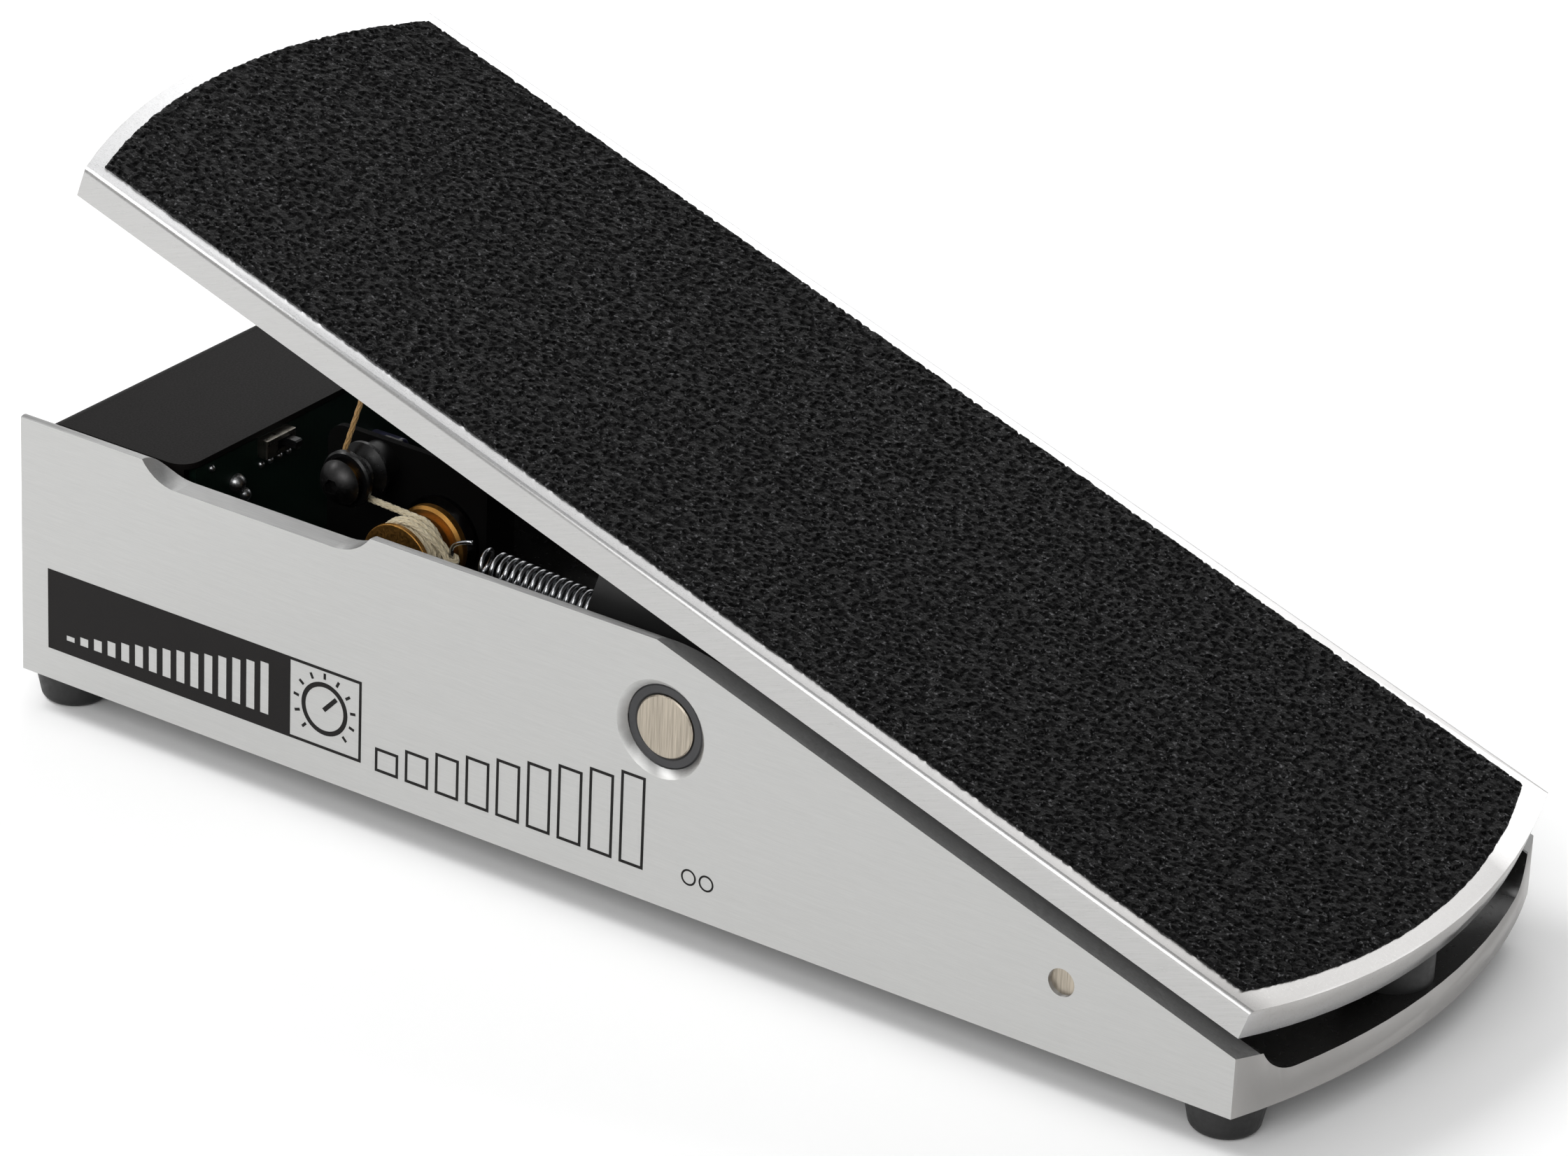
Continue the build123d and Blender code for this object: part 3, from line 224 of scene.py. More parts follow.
def treadle_metal():
    # painted light and shade: the top is painted lighter than the sides, the curved ends darker
    f, shade, rough, _ = brushed("treadle_aluminium", (0, TILT, 0), (0.54, 0.537, 0.53),
                                 (0.66, 0.66, 0.665), (0.44, 0.43, 0.42), 0.30)
    f.put("Base Color", shade)
    f.put("Roughness", rough)
    return f.mat


def metal(name, colour, rough, grain=0.0, scale=400, stretch=(1, 1, 1), vary=0.08):
    """Turned, plated or drawn metal with a little variation in tone and gloss."""
    f = Finish(name, colour, rough, 1.0)
    n = f.noise(f.place(tuple(scale * s for s in stretch)), 1.0, 3.0, 0.6)
    dark = tuple(c * (1 - vary) for c in colour)
    light = tuple(min(1.0, c * (1 + vary)) for c in colour)
    f.put("Base Color", f.mix(f.span(n, LOW, HIGH), dark, light))
    f.put("Roughness", f.span(n, LOW, HIGH, rough * 0.8, min(1.0, rough * 1.25)))
    if grain:
        f.put("Normal", f.bump(n, grain, 0.0001))
    return f.mat


def plastic(name, colour, rough, specular=0.5, grain=0.1, scale=1500, vary=0.12):
    """Moulded plastic, rubber or paint with a fine grain."""
    f = Finish(name, colour, rough, 0.0, specular)
    n = f.noise(f.place((scale,) * 3), 1.0, 3.0, 0.6)
    wide = f.noise(f.place((scale / 12,) * 3), 1.0, 2.0)
    dark = tuple(c * (1 - vary) for c in colour)
    light = tuple(c * (1 + vary) for c in colour)
    f.put("Base Color", f.mix(f.span(wide, LOW, HIGH), dark, light))
    f.put("Roughness", f.span(n, LOW, HIGH, rough * 0.85, min(1.0, rough * 1.15)))
    f.put("Normal", f.bump(n, grain, 0.0001))
    return f.mat


def grip_rubber():
    """Coarse gritty rubber, nearly black, with fine granules; its small glints come partly from uneven gloss
    and partly from pale specks painted into the base colour as painted glints.
    """
    f = Finish("grip_rubber", rough=0.5, specular=0.13)
    grain = f.noise(f.place((1700,) * 3), 1.0, 4.0, 0.7)
    cells = f.node("TexVoronoi", {"feature": "F1"}, Vector=f.place((1250,) * 3), Scale=1.0,
                   Randomness=1.0).outputs["Distance"]
    wide = f.noise(f.place((260,) * 3), 1.0, 3.0)
    glint = f.noise(f.place((620,) * 3), 1.0, 2.0, 0.6)
    painted_glint_specks = f.noise(f.place((1400,) * 3), 1.0, 1.0, 0.5)
    dark = f.mix(f.span(wide, LOW, HIGH), (0.0012, 0.0012, 0.0014), (0.0036, 0.0035, 0.0038))
    # painted glints: pale specks mixed into the base colour
    f.put("Base Color", f.mix(f.span(painted_glint_specks, 0.64, 0.72), dark, (0.10, 0.10, 0.104)))
    f.put("Roughness", f.span(glint, 0.40, 0.62, 0.22, 0.60))
    first = f.bump(grain, 1.0, 0.0006)
    f.put("Normal", f.bump(cells, 0.9, 0.0005, first))
    return f.mat


def string_fibre(name, light, dark):
    """Cotton cord with fine fibres, in a light and a dark tone."""
    f = Finish(name, rough=0.5, specular=0.4)
    n = f.noise(f.place((2600,) * 3), 1.0, 4.0, 0.65)
    wide = f.noise(f.place((160,) * 3), 1.0, 2.0)
    pale = f.mix(f.span(n, LOW, HIGH), light, tuple(c * 1.25 for c in light))
    f.put("Base Color", f.mix(f.span(wide, 0.35, 0.7, 0.0, 0.4), pale, dark))
    f.put("Sheen Weight", 0.25)
    f.put("Normal", f.bump(n, 0.35, 0.0001))
    return f.mat


def circuit_board():
    """Green lacquer with slightly raised copper tracks under it."""
    f = Finish("circuit_board_green", rough=0.45, specular=0.3)
    where = f.place((1, 220, 220))
    tracks = f.node("TexBrick", {"offset": 0.5}, Vector=f.node("Mapping", Vector=where,
                    Rotation=(0, math.pi / 2, 0)).outputs[0], Scale=1.0, Mortar_Size=0.06).outputs["Fac"]
    n = f.noise(f.place((700,) * 3), 1.0, 2.0)
    lacquer = f.mix(f.span(n, LOW, HIGH), (0.0018, 0.0075, 0.0048), (0.0024, 0.0095, 0.006))
    f.put("Base Color", f.mix(tracks, lacquer, (0.0026, 0.011, 0.007)))
    f.put("Normal", f.bump(tracks, 0.12, 0.0001))
    return f.mat


def two_tone(name, axis, limit, low, high):
    """One material whose base colour, metal and roughness change at a plane."""
    f = Finish(name)
    where = f.part(axis, f.node("TexCoord").outputs["Object"])
    share = f.math("GREATER_THAN", where, limit)
    n = f.noise(f.place((1200,) * 3), 1.0, 3.0)
    shade = f.mix(share, low[0], high[0])
    dark = f.node("VectorMath", {"operation": "SCALE"}, _0=shade, Scale=f.span(n, LOW, HIGH, 0.9, 1.1))
    f.put("Base Color", dark.outputs[0])
    f.put("Metallic", f.span(share, 0, 1, low[1], high[1]))
    f.put("Roughness", f.span(share, 0, 1, low[2], high[2]))
    f.put("Normal", f.bump(n, 0.1, 0.0001))
    return f.mat


black_rubber = plastic("black_rubber", (0.012, 0.012, 0.012), 0.55, 0.45, 0.12, 900)
zinc = metal("zinc_plate", (0.66, 0.67, 0.70), 0.32, 0.05, 900)
black_steel = metal("black_oxide_steel", (0.045, 0.044, 0.044), 0.40, 0.12, 1600)
dark_steel = metal("blackened_steel", (0.020, 0.020, 0.021), 0.40, 0.05, 1200)
satin_black = plastic("satin_black_paint", (0.0056, 0.0048, 0.0046), 0.50, 0.07, 0.06, 2500, 0.05)
bracket_black = plastic("matt_black_paint", (0.0032, 0.0031, 0.0030), 0.75, 0.06, 0.05, 2500, 0.05)
nickel = metal("nickel_plate", (0.70, 0.67, 0.62), 0.22, 0.03, 700)
solder_metal = metal("solder", (0.38, 0.385, 0.39), 0.30, 0.12, 1800)
can_metal = metal("plated_can", (0.30, 0.28, 0.24), 0.30, 0.05, 600)
bright_steel = metal("spring_steel", (0.60, 0.61, 0.63), 0.20, 0.03, 900, vary=0.05)
axle_steel = metal("axle_steel", (0.45, 0.40, 0.33), 0.38, 0.2, 900, (5, 3, 0.12), 0.3)
brass = metal("brass", (0.46, 0.235, 0.06), 0.48, 0.35, 2600, vary=0.16)
black_nylon = plastic("black_nylon", (0.0035, 0.0035, 0.0038), 0.30, 0.38, 0.05, 1800)
lead_skin = plastic("lead_insulation", (0.03, 0.03, 0.032), 0.42, 0.5, 0.05, 1500)
lug_black = plastic("black_anodised", (0.014, 0.014, 0.014), 0.45, 0.5, 0.06, 1800)
cream = string_fibre("cream_fibre", (0.76, 0.68, 0.50), (0.60, 0.47, 0.27))
tan = string_fibre("tan_fibre", (0.46, 0.28, 0.105), (0.30, 0.17, 0.055))
channel_finish = channel_metal()
board_green = circuit_board()
bush_black = plastic("bush_polymer", (0.040, 0.040, 0.042), 0.45, 0.4, 0.05, 1800)
sleeve_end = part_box("jack_panel")[0].x + SLEEVE_LENGTH
bush_finish = two_tone("bush_brass_and_black", "Y", BUSH_SPLIT_Y, ((0.50, 0.26, 0.065), 1.0, 0.40),
                       ((0.004, 0.004, 0.004), 0.0, 0.5))
jack_finish = two_tone("jack_body_and_sleeve", "X", sleeve_end,
                       ((0.70, 0.67, 0.62), 1.0, 0.24), ((0.012, 0.012, 0.013), 0.0, 0.42))
component_finish = two_tone("resistor_and_capacitor", "Y", PART_SPLIT_Y,
                            ((0.02, 0.022, 0.05), 0.0, 0.35), ((0.45, 0.33, 0.18), 0.0, 0.45))

FINISHES = {
    channel_finish: ["base_channel"],
    black_rubber: ["feet", "heel_bumper", "toe_bumpers"],
    zinc: ["foot_screws", "cover_screws", "heel_bumper_screw", "bracket_screws"],
    black_steel: ["idler_screw"],
    dark_steel: ["idler_nut", "spool_set_screw", "potentiometer_washer", "lug_screws", "lug_set_screws"],
    satin_black: ["jack_cover", "jack_panel"],
    bracket_black: ["mechanism_bracket"],
    nickel: ["jack_washers", "jack_nuts", "potentiometer_nut"],
    solder_metal: ["solder_joints"],
    can_metal: ["slide_switch_case", "potentiometer"],
    bright_steel: ["spring_anchor", "spring_hook", "tension_spring"],
    axle_steel: ["axle_shaft", "heel_cross_rod", "potentiometer_shaft"],
    brass: ["string_spool", "string_eyelet"],
    bush_finish: ["idler_bush"],
    black_nylon: ["idler_pulley", "slide_switch_knob", "lead_connector"],
    bush_black: ["axle_bush_near", "axle_bush_far"],
    lead_skin: ["potentiometer_leads"],
    lug_black: ["pivot_lug_near", "pivot_lug_far"],
    cream: ["string_knot", "string_riser", "string_run", "string_tail", "string_loop",
            "string_windings"],
    board_green: ["circuit_board"],
    jack_finish: ["input_jack", "output_jack"],
    component_finish: ["board_components"],
    treadle_metal(): ["treadle_plate"],
    grip_rubber(): ["grip_sheet"],
}
for finish, names in FINISHES.items():
    for name in names:
        for slot in nodes[name].material_slots:
            slot.material = finish


# ---- edges of the two aluminium parts -----------------------------------------------------
EDGE_BREAKS = {"base_channel": 0.28 * MM, "treadle_plate": 0.22 * MM}
FLAT_ANGLE, SHARP_ANGLE = 0.4, 28          # degrees: faces merge below one, edges break above the other


def soften_edges(name, width):
    """Merge the flat triangles of a CAD node and give its sharp edges a small bevel."""
    obj = nodes[name]
    weld = obj.modifiers.new("weld", "WELD")
    weld.merge_threshold = 1e-6
    flat = obj.modifiers.new("flat_faces", "DECIMATE")
    flat.decimate_type = "DISSOLVE"
    flat.angle_limit = math.radians(FLAT_ANGLE)
    edge = obj.modifiers.new("edge_break", "BEVEL")
    edge.width = width
    edge.segments = 2
    edge.limit_method = "ANGLE"
    edge.angle_limit = math.radians(SHARP_ANGLE)
    edge.harden_normals = True


for name, width in EDGE_BREAKS.items():
    soften_edges(name, width)


# ---- mesh helpers -------------------------------------------------------------------------
def add_mesh(name, points, faces, finish, body=None, smooth=True):
    mesh = bpy.data.meshes.new(name)
    mesh.from_pydata([tuple(p) for p in points], [], faces)
    mesh.validate()
    mesh.polygons.foreach_set("use_smooth", [smooth] * len(mesh.polygons))
    obj = bpy.data.objects.new(name, mesh)
    bpy.context.scene.collection.objects.link(obj)
    obj.data.materials.append(finish)
    if body:
        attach(obj, body)
    return obj


def smooth_path(points, spacing):
    """Catmull-Rom curve through the points, sampled at an even spacing."""
    p = np.array([tuple(q) for q in points], float)
    p = np.vstack([2 * p[0] - p[1], p, 2 * p[-1] - p[-2]])
    out = []
    for i in range(1, len(p) - 2):
        t = np.linspace(0, 1, 24, endpoint=False)[:, None]
        a, b, c, d = p[i - 1], p[i], p[i + 1], p[i + 2]
        out.append(0.5 * (2 * b + (c - a) * t + (2 * a - 5 * b + 4 * c - d) * t ** 2
                          + (3 * b - a - 3 * c + d) * t ** 3))
    out.append(p[-2][None])
    return even(np.vstack(out), spacing)


def even(path, spacing):
    """The same line with points at an even spacing."""
    steps = np.linalg.norm(np.diff(path, axis=0), axis=1)
    along = np.concatenate([[0], np.cumsum(steps)])
    want = np.linspace(0, along[-1], max(2, int(round(along[-1] / spacing)) + 1))
    return np.column_stack([np.interp(want, along, path[:, k]) for k in range(3)])


def frames(path):
    """Two directions across the path at each point, carried along without twist."""
    way = np.gradient(path, axis=0)
    way /= np.linalg.norm(way, axis=1)[:, None]
    first = np.cross(way[0], (0.3, 0.9, 0.2))
    first /= np.linalg.norm(first)
    sides = [first]
    for t in way[1:]:
        s = sides[-1] - t * (sides[-1] @ t)
        sides.append(s / np.linalg.norm(s))
    sides = np.array(sides)
    return sides, np.cross(way, sides)


def tube(path, radius, sides=10):
    """Points and faces of a closed round tube along the path."""
    a, b = frames(path)
    turn = np.linspace(0, 2 * np.pi, sides, endpoint=False)
    radius = np.broadcast_to(np.asarray(radius, float), (len(path),))
    ring = (a[:, None] * np.cos(turn)[:, None] + b[:, None] * np.sin(turn)[:, None])
    points = (path[:, None] + ring * radius[:, None, None]).reshape(-1, 3)
    faces = []
    for i in range(len(path) - 1):
        for k in range(sides):
            m = (k + 1) % sides
            faces.append((i * sides + k, i * sides + m, (i + 1) * sides + m, (i + 1) * sides + k))
    faces.append(tuple(range(sides))[::-1])
    faces.append(tuple((len(path) - 1) * sides + k for k in range(sides)))
    return points, faces


def join(parts):
    """Several (points, faces) as one."""
    points, faces, start = [], [], 0
    for p, f in parts:
        points.append(np.asarray(p))
        faces += [tuple(i + start for i in face) for face in f]
        start += len(p)
    return np.vstack(points), faces


def braid(path, radius, pitch=10.5 * MM, strands=10):
    """Tubular braid round a core: half of the strands turn each way, over and under."""
    a, b = frames(path)
    run = np.concatenate([[0], np.cumsum(np.linalg.norm(np.diff(path, axis=0), axis=1))])
    turn = 2 * np.pi * run / pitch
    half = strands // 2
    thick = radius * 0.27
    middle = radius - thick * 1.3
    parts = [tube(path, middle, 8)]
    for k in range(strands):
        way = 1 if k < half else -1
        angle = way * turn + 2 * np.pi * (k % half) / half
        out = middle + way * thick * 0.3 * np.cos(half * turn)
        centre = path + out[:, None] * (a * np.cos(angle)[:, None] + b * np.sin(angle)[:, None])
        parts.append(tube(centre, thick, 6))
    return join(parts)


# ---- grip sheet ---------------------------------------------------------------------------
GRIP_TOE, GRIP_HEEL, GRIP_HALF = 152.2, 122.1, 50.4
GRIP_TOE_BULGE, GRIP_HEEL_BULGE = 9.5, 10.0
GRIP_T = 1.1
GRIP_STEP = 0.5
RIM = 2.0                                  # width of the torn edge
LIP = 0.5                                  # outermost strip, lower than the rest


def arc_out(y, half, bulge):
    """How far a shallow arc over a chord of two halves stands out at y."""
    radius = (half ** 2 + bulge ** 2) / (2 * bulge)
    return math.sqrt(radius ** 2 - y ** 2) - (radius - bulge)


def grip_height(x, y):
    """Height of the gritty surface, 0 to 1: flat crumbs with narrow pits between them."""
    p = Vector((x, y, 0))
    lumps = noise.noise(p * 0.45 + Vector((7, 3, 1)))
    pits = noise.noise(p * 0.92 + Vector((1, 9, 4)))
    grit = noise.noise(p * 1.45 + Vector((5, 2, 8)))
    crumb = noise.noise(p * 2.5 + Vector((2, 6, 3)))
    hole = min(1.0, max(0.0, (pits - 0.10) / 0.14))
    return 0.70 + 0.08 * lumps + 0.16 * grit + 0.15 * crumb - 0.50 * hole


def build_grip():
    across = int(2 * GRIP_HALF / GRIP_STEP)
    along = int((GRIP_TOE + GRIP_HEEL + GRIP_TOE_BULGE) / GRIP_STEP)
    points = []
    for j in range(across + 1):
        flat_y = GRIP_HALF * (2 * j / across - 1)
        toe = -GRIP_TOE - arc_out(flat_y, GRIP_HALF, GRIP_TOE_BULGE)
        heel = GRIP_HEEL + arc_out(flat_y, GRIP_HALF, GRIP_HEEL_BULGE)
        for i in range(along + 1):
            x = toe + (heel - toe) * i / along
            y = flat_y
            side = min(j, across - j) * GRIP_STEP
            end = min(i, along - i) * GRIP_STEP
            edge = min(side, end)
            if edge < RIM:
                # torn edge: pull the rim in by an uneven amount
                rag = 0.16 + 0.16 * noise.noise(Vector((x * 0.35, y * 0.35, 3))) \
                    + 0.12 * noise.noise(Vector((x * 1.1, y * 1.1, 6)))
                pull = max(0.0, rag) * (1 - edge / RIM)
                if side <= end:
                    y -= math.copysign(pull, y)
                else:
                    x += pull if i < along / 2 else -pull
            height = max(0.12, min(1.0, grip_height(x, y)))
            if edge < LIP:
                height *= 0.62
            points.append(on_treadle(x, y, PLATE_TOP + GRIP_T * height))
    wide = along + 1
    faces = []
    for j in range(across):
        for i in range(along):
            k = j * wide + i
            faces.append((k, k + 1, k + wide + 1, k + wide))
    rim = list(range(0, along)) + [j * wide + along for j in range(across)]
    rim += [across * wide + i for i in range(along, 0, -1)] + [j * wide for j in range(across, 0, -1)]
    out = on_treadle(0, 0, 1) - on_treadle(0, 0, 0)
    base = on_treadle(0, 0, PLATE_TOP).dot(out) / out.dot(out)
    start = len(points)
    for k in rim:
        p = points[k]
        drop = p.dot(out) / out.dot(out) - base
        points.append(p - out * drop)
    count = len(rim)
    for i in range(count):
        m = (i + 1) % count
        faces.append((rim[m], rim[i], start + i, start + m))
    faces.append(tuple(start + i for i in range(count))[::-1])
    grip = add_mesh("gritty_grip", points, faces, nodes["grip_sheet"].material_slots[0].material,
                    "treadle", smooth=False)
    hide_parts("grip_sheet")


build_grip()


# ---- spring and its hook ------------------------------------------------------------------
SPRING_Y = -25.5
SPRING_TOE, SPRING_HEEL, SPRING_TOE_Z = 94.5, 144.0, 40.2
SPRING_FALL = math.radians(3.6)
SPRING_R = 3.35
WIRE_R = 0.45
SPRING_TURNS = 30.75
WIRE_SIDES = 10
LEAD_IN = 4.6                              # length of the turn between the hook and the coil
HOOK_BEND = ((88.8, 7.3), (87.2, 6.9), (85.0, 5.9), (83.95, 4.6), (83.85, 2.6), (84.3, 0.7),
             (85.8, -0.2), (88.0, -0.15))  # along the channel, and above the coil's lowest line
SPRING_WAY = Vector((math.cos(SPRING_FALL), 0, -math.sin(SPRING_FALL)))
SPRING_UP = Vector((math.sin(SPRING_FALL), 0, math.cos(SPRING_FALL)))


def coil_point(along, turn, radius):
    """Point mm along the spring's axis from its toe end, turned about it from the bottom."""
    side = Vector((0, 1, 0)) * math.sin(turn) - SPRING_UP * math.cos(turn)
    return at(SPRING_TOE, SPRING_Y, SPRING_TOE_Z) + (SPRING_WAY * along + side * radius) * MM


def build_spring():
    length = (SPRING_HEEL - SPRING_TOE) / math.cos(SPRING_FALL)
    steps = int(SPRING_TURNS * 30)
    turns = [SPRING_TURNS * i / steps for i in range(steps + 1)]
    path = np.array([tuple(coil_point(length * t / SPRING_TURNS, 2 * math.pi * t, SPRING_R))
                     for t in turns])
    points, faces = tube(path, WIRE_R * MM, WIRE_SIDES)
    coil = add_mesh("spring_coil", points, faces, bright_steel, "base")
    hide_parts("tension_spring")
    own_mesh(coil)


def build_hook():
    """Open hook at the toe end, with a smaller turn that leads into the coil."""
    low = SPRING_TOE_Z - SPRING_R
    bend = [at(x, SPRING_Y, low + z) for x, z in HOOK_BEND]
    steps = 12
    lead = []
    for i in range(1, steps + 1):
        t = i / steps
        lead.append(coil_point(LEAD_IN * (t - 1), 2 * math.pi * t, SPRING_R * (0.93 + 0.07 * t)))
    path = smooth_path(bend + lead, 0.2 * MM)
    points, faces = tube(path, WIRE_R * MM, WIRE_SIDES)
    hook = add_mesh("spring_end_hook", points, faces, bright_steel, "spring_hook")
    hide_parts("spring_hook")


build_spring()
build_hook()


# ---- string -------------------------------------------------------------------------------
STRING_R = 0.72
RISER_R = 0.58
STRING_Y = -23.7
IDLER = (59.1, 49.2)
GROOVE_R = 4.1
SPOOL = (74.5, 37.4)
RISER_TOP = (-98.2, 20.2)                  # string's end at the treadle: along it, and out from the pivot
RISER_PITCH = 14.0
LEAVES_IDLER = 161.5                       # degrees round the idler where the string goes up
STRING_STEP = 0.22
WINDINGS = ((5.35, -24.4, -28.7, 3.4), (6.6, -28.7, -25.0, 2.9))   # radius, first y, last y, turns


def ring_point(centre, radius, degrees, y):
    """Point on a circle about a pulley's axis; 90 degrees is straight up, 0 to the heel."""
    a = math.radians(degrees)
    return at(centre[0] + radius * math.cos(a), y, centre[1] + radius * math.sin(a))


def build_string():
    hole = on_treadle(RISER_TOP[0], STRING_Y, RISER_TOP[1])
    foot = ring_point(IDLER, GROOVE_R, LEAVES_IDLER, STRING_Y)
    straight = even(np.array([tuple(foot), tuple(hole)]), STRING_STEP * MM)
    points, faces = braid(straight, RISER_R * MM, RISER_PITCH * MM)
    riser = add_mesh("string_rising", points, faces, tan)
    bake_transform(riser)
    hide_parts("string_riser")

    route = [ring_point(IDLER, GROOVE_R, a, STRING_Y) for a in (LEAVES_IDLER, 185, 208, 230, 250, 266)]
    route += [at(64.0, STRING_Y, 44.85), at(69.5, STRING_Y, 44.57), at(74.3, STRING_Y, 44.32)]
    route += [ring_point(SPOOL, 6.95, 78, -23.75), ring_point(SPOOL, 6.9, 60, -23.95),
              ring_point(SPOOL, 6.8, 40, -24.25), ring_point(SPOOL, 6.6, 15, -24.6),
              ring_point(SPOOL, 6.2, -15, -25.0)]
    points, faces = braid(smooth_path(route, STRING_STEP * MM), STRING_R * MM)
    run = add_mesh("string_running", points, faces, cream, "base")
    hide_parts("string_run")

    turns = []
    for layer, (radius, first, last, count) in enumerate(WINDINGS):
        steps = int(count * 40)
        for i in range(steps + 1):
            t = i / steps
            wobble = 0.10 * noise.noise(Vector((t * count * 1.3, layer, 2)))
            turns.append(ring_point(SPOOL, radius + wobble, 200 - 360 * count * t - 77 * layer,
                                    first + (last - first) * t + 1.5 * wobble))
    path = even(np.array([tuple(p) for p in turns]), 0.3 * MM)
    points, faces = braid(path, STRING_R * MM, strands=8)
    wound = add_mesh("string_wound", points, faces, cream, "spool")
    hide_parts("string_windings")

    route = [ring_point(SPOOL, 6.6, 150, -28.7), ring_point(SPOOL, 7.3, 120, -28.75),
             ring_point(SPOOL, 7.95, 95, -28.6), ring_point(SPOOL, 8.2, 72, -28.3),
             at(79.8, -27.7, 43.6), at(82.3, -26.7, 41.2), at(83.9, SPRING_Y - 1.15, 39.4)]
    route += [at(85.0, SPRING_Y - 0.1, 38.9), at(84.0, SPRING_Y + 1.1, 39.2), at(82.9, SPRING_Y + 0.5, 39.9)]
    route += [at(81.6, -25.5, 41.6), at(79.5, -26.2, 43.7), ring_point(SPOOL, 8.1, 72, -26.9),
              ring_point(SPOOL, 7.9, 95, -27.25), ring_point(SPOOL, 7.4, 120, -27.4),
              ring_point(SPOOL, 6.6, 150, -27.4)]
    points, faces = braid(smooth_path(route, STRING_STEP * MM), STRING_R * 0.92 * MM)
    tail = add_mesh("string_hitch", points, faces, cream)
    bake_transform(tail)
    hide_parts("string_tail", "string_loop")


build_string()


# ---- printed decal on the near wall -------------------------------------------------------
INK_T = 0.02                               # ink outside the wall, mm
INK_SINK = 0.01                            # and into it
LINE = 0.62
PANEL = (6.6, 66.7, 6.7, 24.0)             # dark panel: its ends along the channel, its bottom and top
PANEL_BARS = 15
PANEL_MARGIN = 4.0
PANEL_FOOT = 3.0                           # dark strip below the bars
DIAL_END = 84.6                            # heel end of the square frame round the dial
DIAL_OUTER, DIAL_INNER = 5.6, 4.6
TICK_INNER, TICK_OUTER, TICK_HALF = 6.3, 7.6, 0.3
TICKS = 11
BAR_ROW = (88.0, 152.8)                    # outlined bars: where the row starts and stops
ROW_BARS = 9
ROW_BOTTOM, ROW_FIRST, ROW_RISE, ROW_GAP = 6.2, 9.5, 16.0, 1.6
RINGS = ((161.6, 8.2), (165.6, 8.2))


def plate(outline):
    """Thin closed plate on the near wall from (x, z) corners in mm."""
    count = len(outline)
    points = [at(x, 0, z) for x, z in outline]
    near = [Vector((p.x, WALL_Y - INK_T * MM, p.z)) for p in points]
    far = [Vector((p.x, WALL_Y + INK_SINK * MM, p.z)) for p in points]
    faces = [tuple(range(count)), tuple(range(count, 2 * count))[::-1]]
    for i in range(count):
        m = (i + 1) % count
        faces.append((m, i, count + i, count + m))
    return near + far, faces


def frame_strip(outer, inner):
    """Closed line between two matching outlines, as short plates."""
    parts = []
    count = len(outer)
    for i in range(count):
        m = (i + 1) % count
        parts.append(plate([outer[i], outer[m], inner[m], inner[i]]))
    return parts


def rectangle(x0, x1, z0, z1):
    return [(x0, z0), (x1, z0), (x1, z1), (x0, z1)]


def box_line(x0, x1, z0, z1, width):
    return frame_strip(rectangle(x0, x1, z0, z1),
                       rectangle(x0 + width, x1 - width, z0 + width, z1 - width))


def circle(x, z, radius, count=48):
    return [(x + radius * math.cos(2 * math.pi * i / count), z + radius * math.sin(2 * math.pi * i / count))
            for i in range(count)]


def build_decal():
    """Generic print: a dark panel with rising bars, a dial in a frame, and outlined rising bars."""
    x0, x1, z0, z1 = PANEL
    pitch = (x1 - x0 - 2 * PANEL_MARGIN) / PANEL_BARS
    gap = 0.42 * pitch
    parts = [plate(rectangle(x0, x1, z0, z0 + PANEL_FOOT))]
    for i in range(PANEL_BARS):
        left = x0 + PANEL_MARGIN + pitch * i
        top = z0 + PANEL_FOOT + 11.0 * (i + 1.5) / (PANEL_BARS + 0.5)
        parts.append(plate(rectangle(left - gap / 2, left + gap / 2, z0 + PANEL_FOOT, z1)))
        parts.append(plate(rectangle(left + gap / 2, left + pitch - gap / 2, top, z1)))
    parts.append(plate(rectangle(x0, x0 + PANEL_MARGIN - gap / 2, z0 + PANEL_FOOT, z1)))
    parts.append(plate(rectangle(x1 - PANEL_MARGIN - gap / 2, x1, z0 + PANEL_FOOT, z1)))
    parts += box_line(x1, DIAL_END, z0, z1, LINE)
    mx, mz = (x1 + DIAL_END) / 2, (z0 + z1) / 2
    parts += frame_strip(circle(mx, mz, DIAL_OUTER), circle(mx, mz, DIAL_INNER))
    parts.append(plate([(mx - 0.55, mz), (mx + 0.2, mz - 0.6), (mx + 3.2, mz + 2.6), (mx + 2.5, mz + 3.2)]))
    for i in range(TICKS):
        a = math.radians(225 - 27 * i)
        c, s = math.cos(a), math.sin(a)
        parts.append(plate([(mx + r * c + t * s, mz + r * s - t * c) for r, t in
                            ((TICK_INNER, TICK_HALF), (TICK_OUTER, TICK_HALF),
                             (TICK_OUTER, -TICK_HALF), (TICK_INNER, -TICK_HALF))]))
    start, stop = BAR_ROW
    step = (stop - start) / ROW_BARS
    for i in range(ROW_BARS):
        left = start + step * i
        top = ROW_FIRST + ROW_RISE * (i + 1) / ROW_BARS
        parts += box_line(left, left + step - ROW_GAP, ROW_BOTTOM, top, LINE)
    for x, z in RINGS:
        parts += frame_strip(circle(x, z, 1.7, 24), circle(x, z, 1.3, 24))
    points, faces = join([([tuple(p) for p in pts], f) for pts, f in parts])
    ink = plastic("black_ink", (0.0068, 0.0058, 0.0055), 0.5, 0.17, 0.03, 2500, 0.06)
    add_mesh("side_print", points, faces, ink, "base", smooth=False)


build_decal()


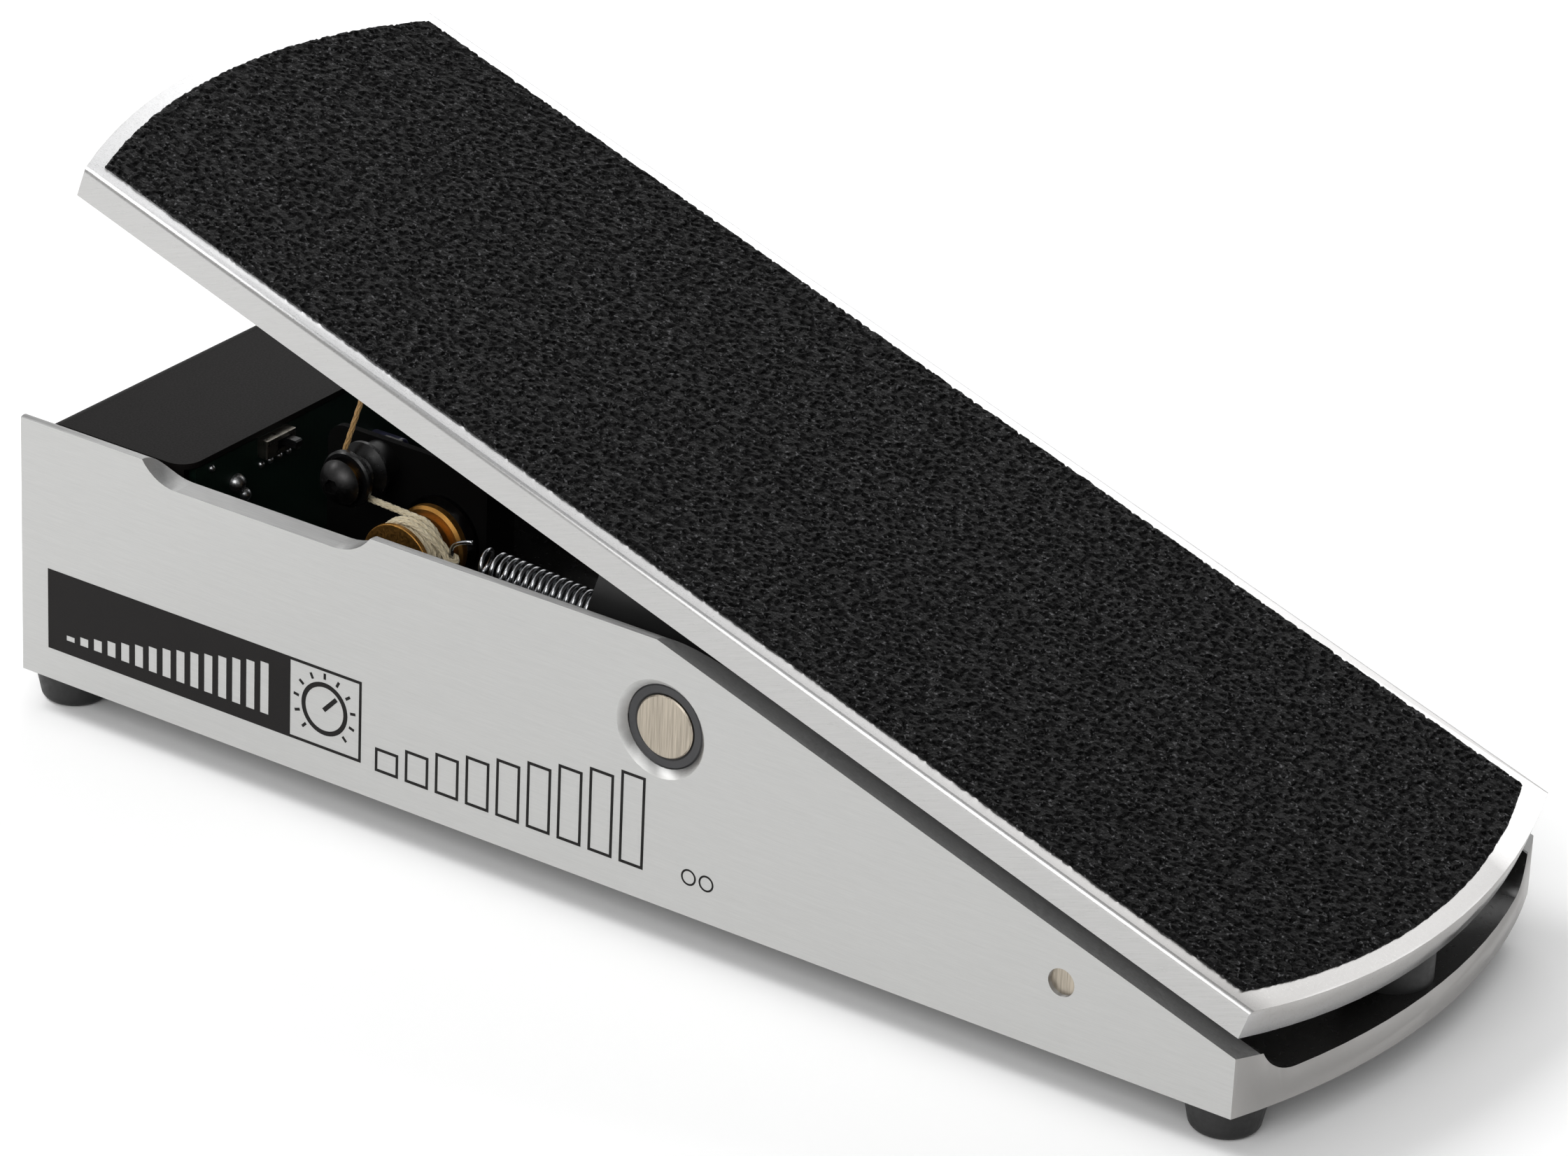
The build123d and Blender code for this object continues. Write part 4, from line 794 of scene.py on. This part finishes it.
# ---- floor, light and camera --------------------------------------------------------------
FLOOR_HALF = 12.0
WORLD_STRENGTH = 0.43
LIGHTS_AIM = (0.0, 0.0, 0.05)
LIGHTS = {                                 # place, width and height, watts
    "key_light": ((-1.05, -0.35, 1.35), (0.55, 0.9), 15),
    "back_light": ((-0.25, 1.35, 1.05), (1.8, 0.9), 11),
    "front_light": ((0.4, -1.8, 1.3), (1.6, 1.2), 19),
}
CAMERA_PLACE = (0.637992, -0.95292, 0.60584)
CAMERA_HEADING, CAMERA_DOWN, CAMERA_ROLL = 33.674, 25.804, 2.616   # degrees
CAMERA_LENS, CAMERA_SENSOR = 153.37, 36.0


def build_stage():
    mesh = bpy.data.meshes.new("floor")
    size = FLOOR_HALF
    mesh.from_pydata([(-size, -size, 0), (size, -size, 0), (size, size, 0), (-size, size, 0)], [],
                     [(0, 1, 2, 3)])
    floor = bpy.data.objects.new("floor", mesh)
    bpy.context.scene.collection.objects.link(floor)
    f = Finish("pale_floor", (0.98, 0.98, 0.98), 0.9, 0.0, 0.1)
    floor.data.materials.append(f.mat)


def softbox(name, place, size, power):
    light = bpy.data.lights.new(name, "AREA")
    light.shape = "RECTANGLE"
    light.size, light.size_y = size
    light.energy = power
    obj = bpy.data.objects.new(name, light)
    obj.location = place
    obj.rotation_euler = (Vector(place) - Vector(LIGHTS_AIM)).to_track_quat("Z", "Y").to_euler()
    bpy.context.scene.collection.objects.link(obj)


def build_light():
    world = bpy.data.worlds.new("studio")
    world.use_nodes = True
    sky = world.node_tree.nodes["Background"]
    sky.inputs["Color"].default_value = (1.0, 1.0, 1.0, 1)
    sky.inputs["Strength"].default_value = WORLD_STRENGTH
    bpy.context.scene.world = world
    for name, (place, size, power) in LIGHTS.items():
        softbox(name, place, size, power)


def build_camera():
    camera = bpy.data.cameras.new("camera")
    camera.lens = CAMERA_LENS
    camera.sensor_width = CAMERA_SENSOR
    camera.clip_start, camera.clip_end = 0.01, 50
    obj = bpy.data.objects.new("camera", camera)
    turn = (Matrix.Rotation(math.radians(CAMERA_HEADING), 3, "Z")
            @ Matrix.Rotation(math.radians(90 - CAMERA_DOWN), 3, "X")
            @ Matrix.Rotation(math.radians(CAMERA_ROLL), 3, "Z"))
    obj.rotation_euler = turn.to_euler()
    obj.location = CAMERA_PLACE
    bpy.context.scene.collection.objects.link(obj)
    bpy.context.scene.camera = obj
    bpy.context.scene.view_settings.view_transform = "Standard"


build_stage()
build_light()
build_camera()
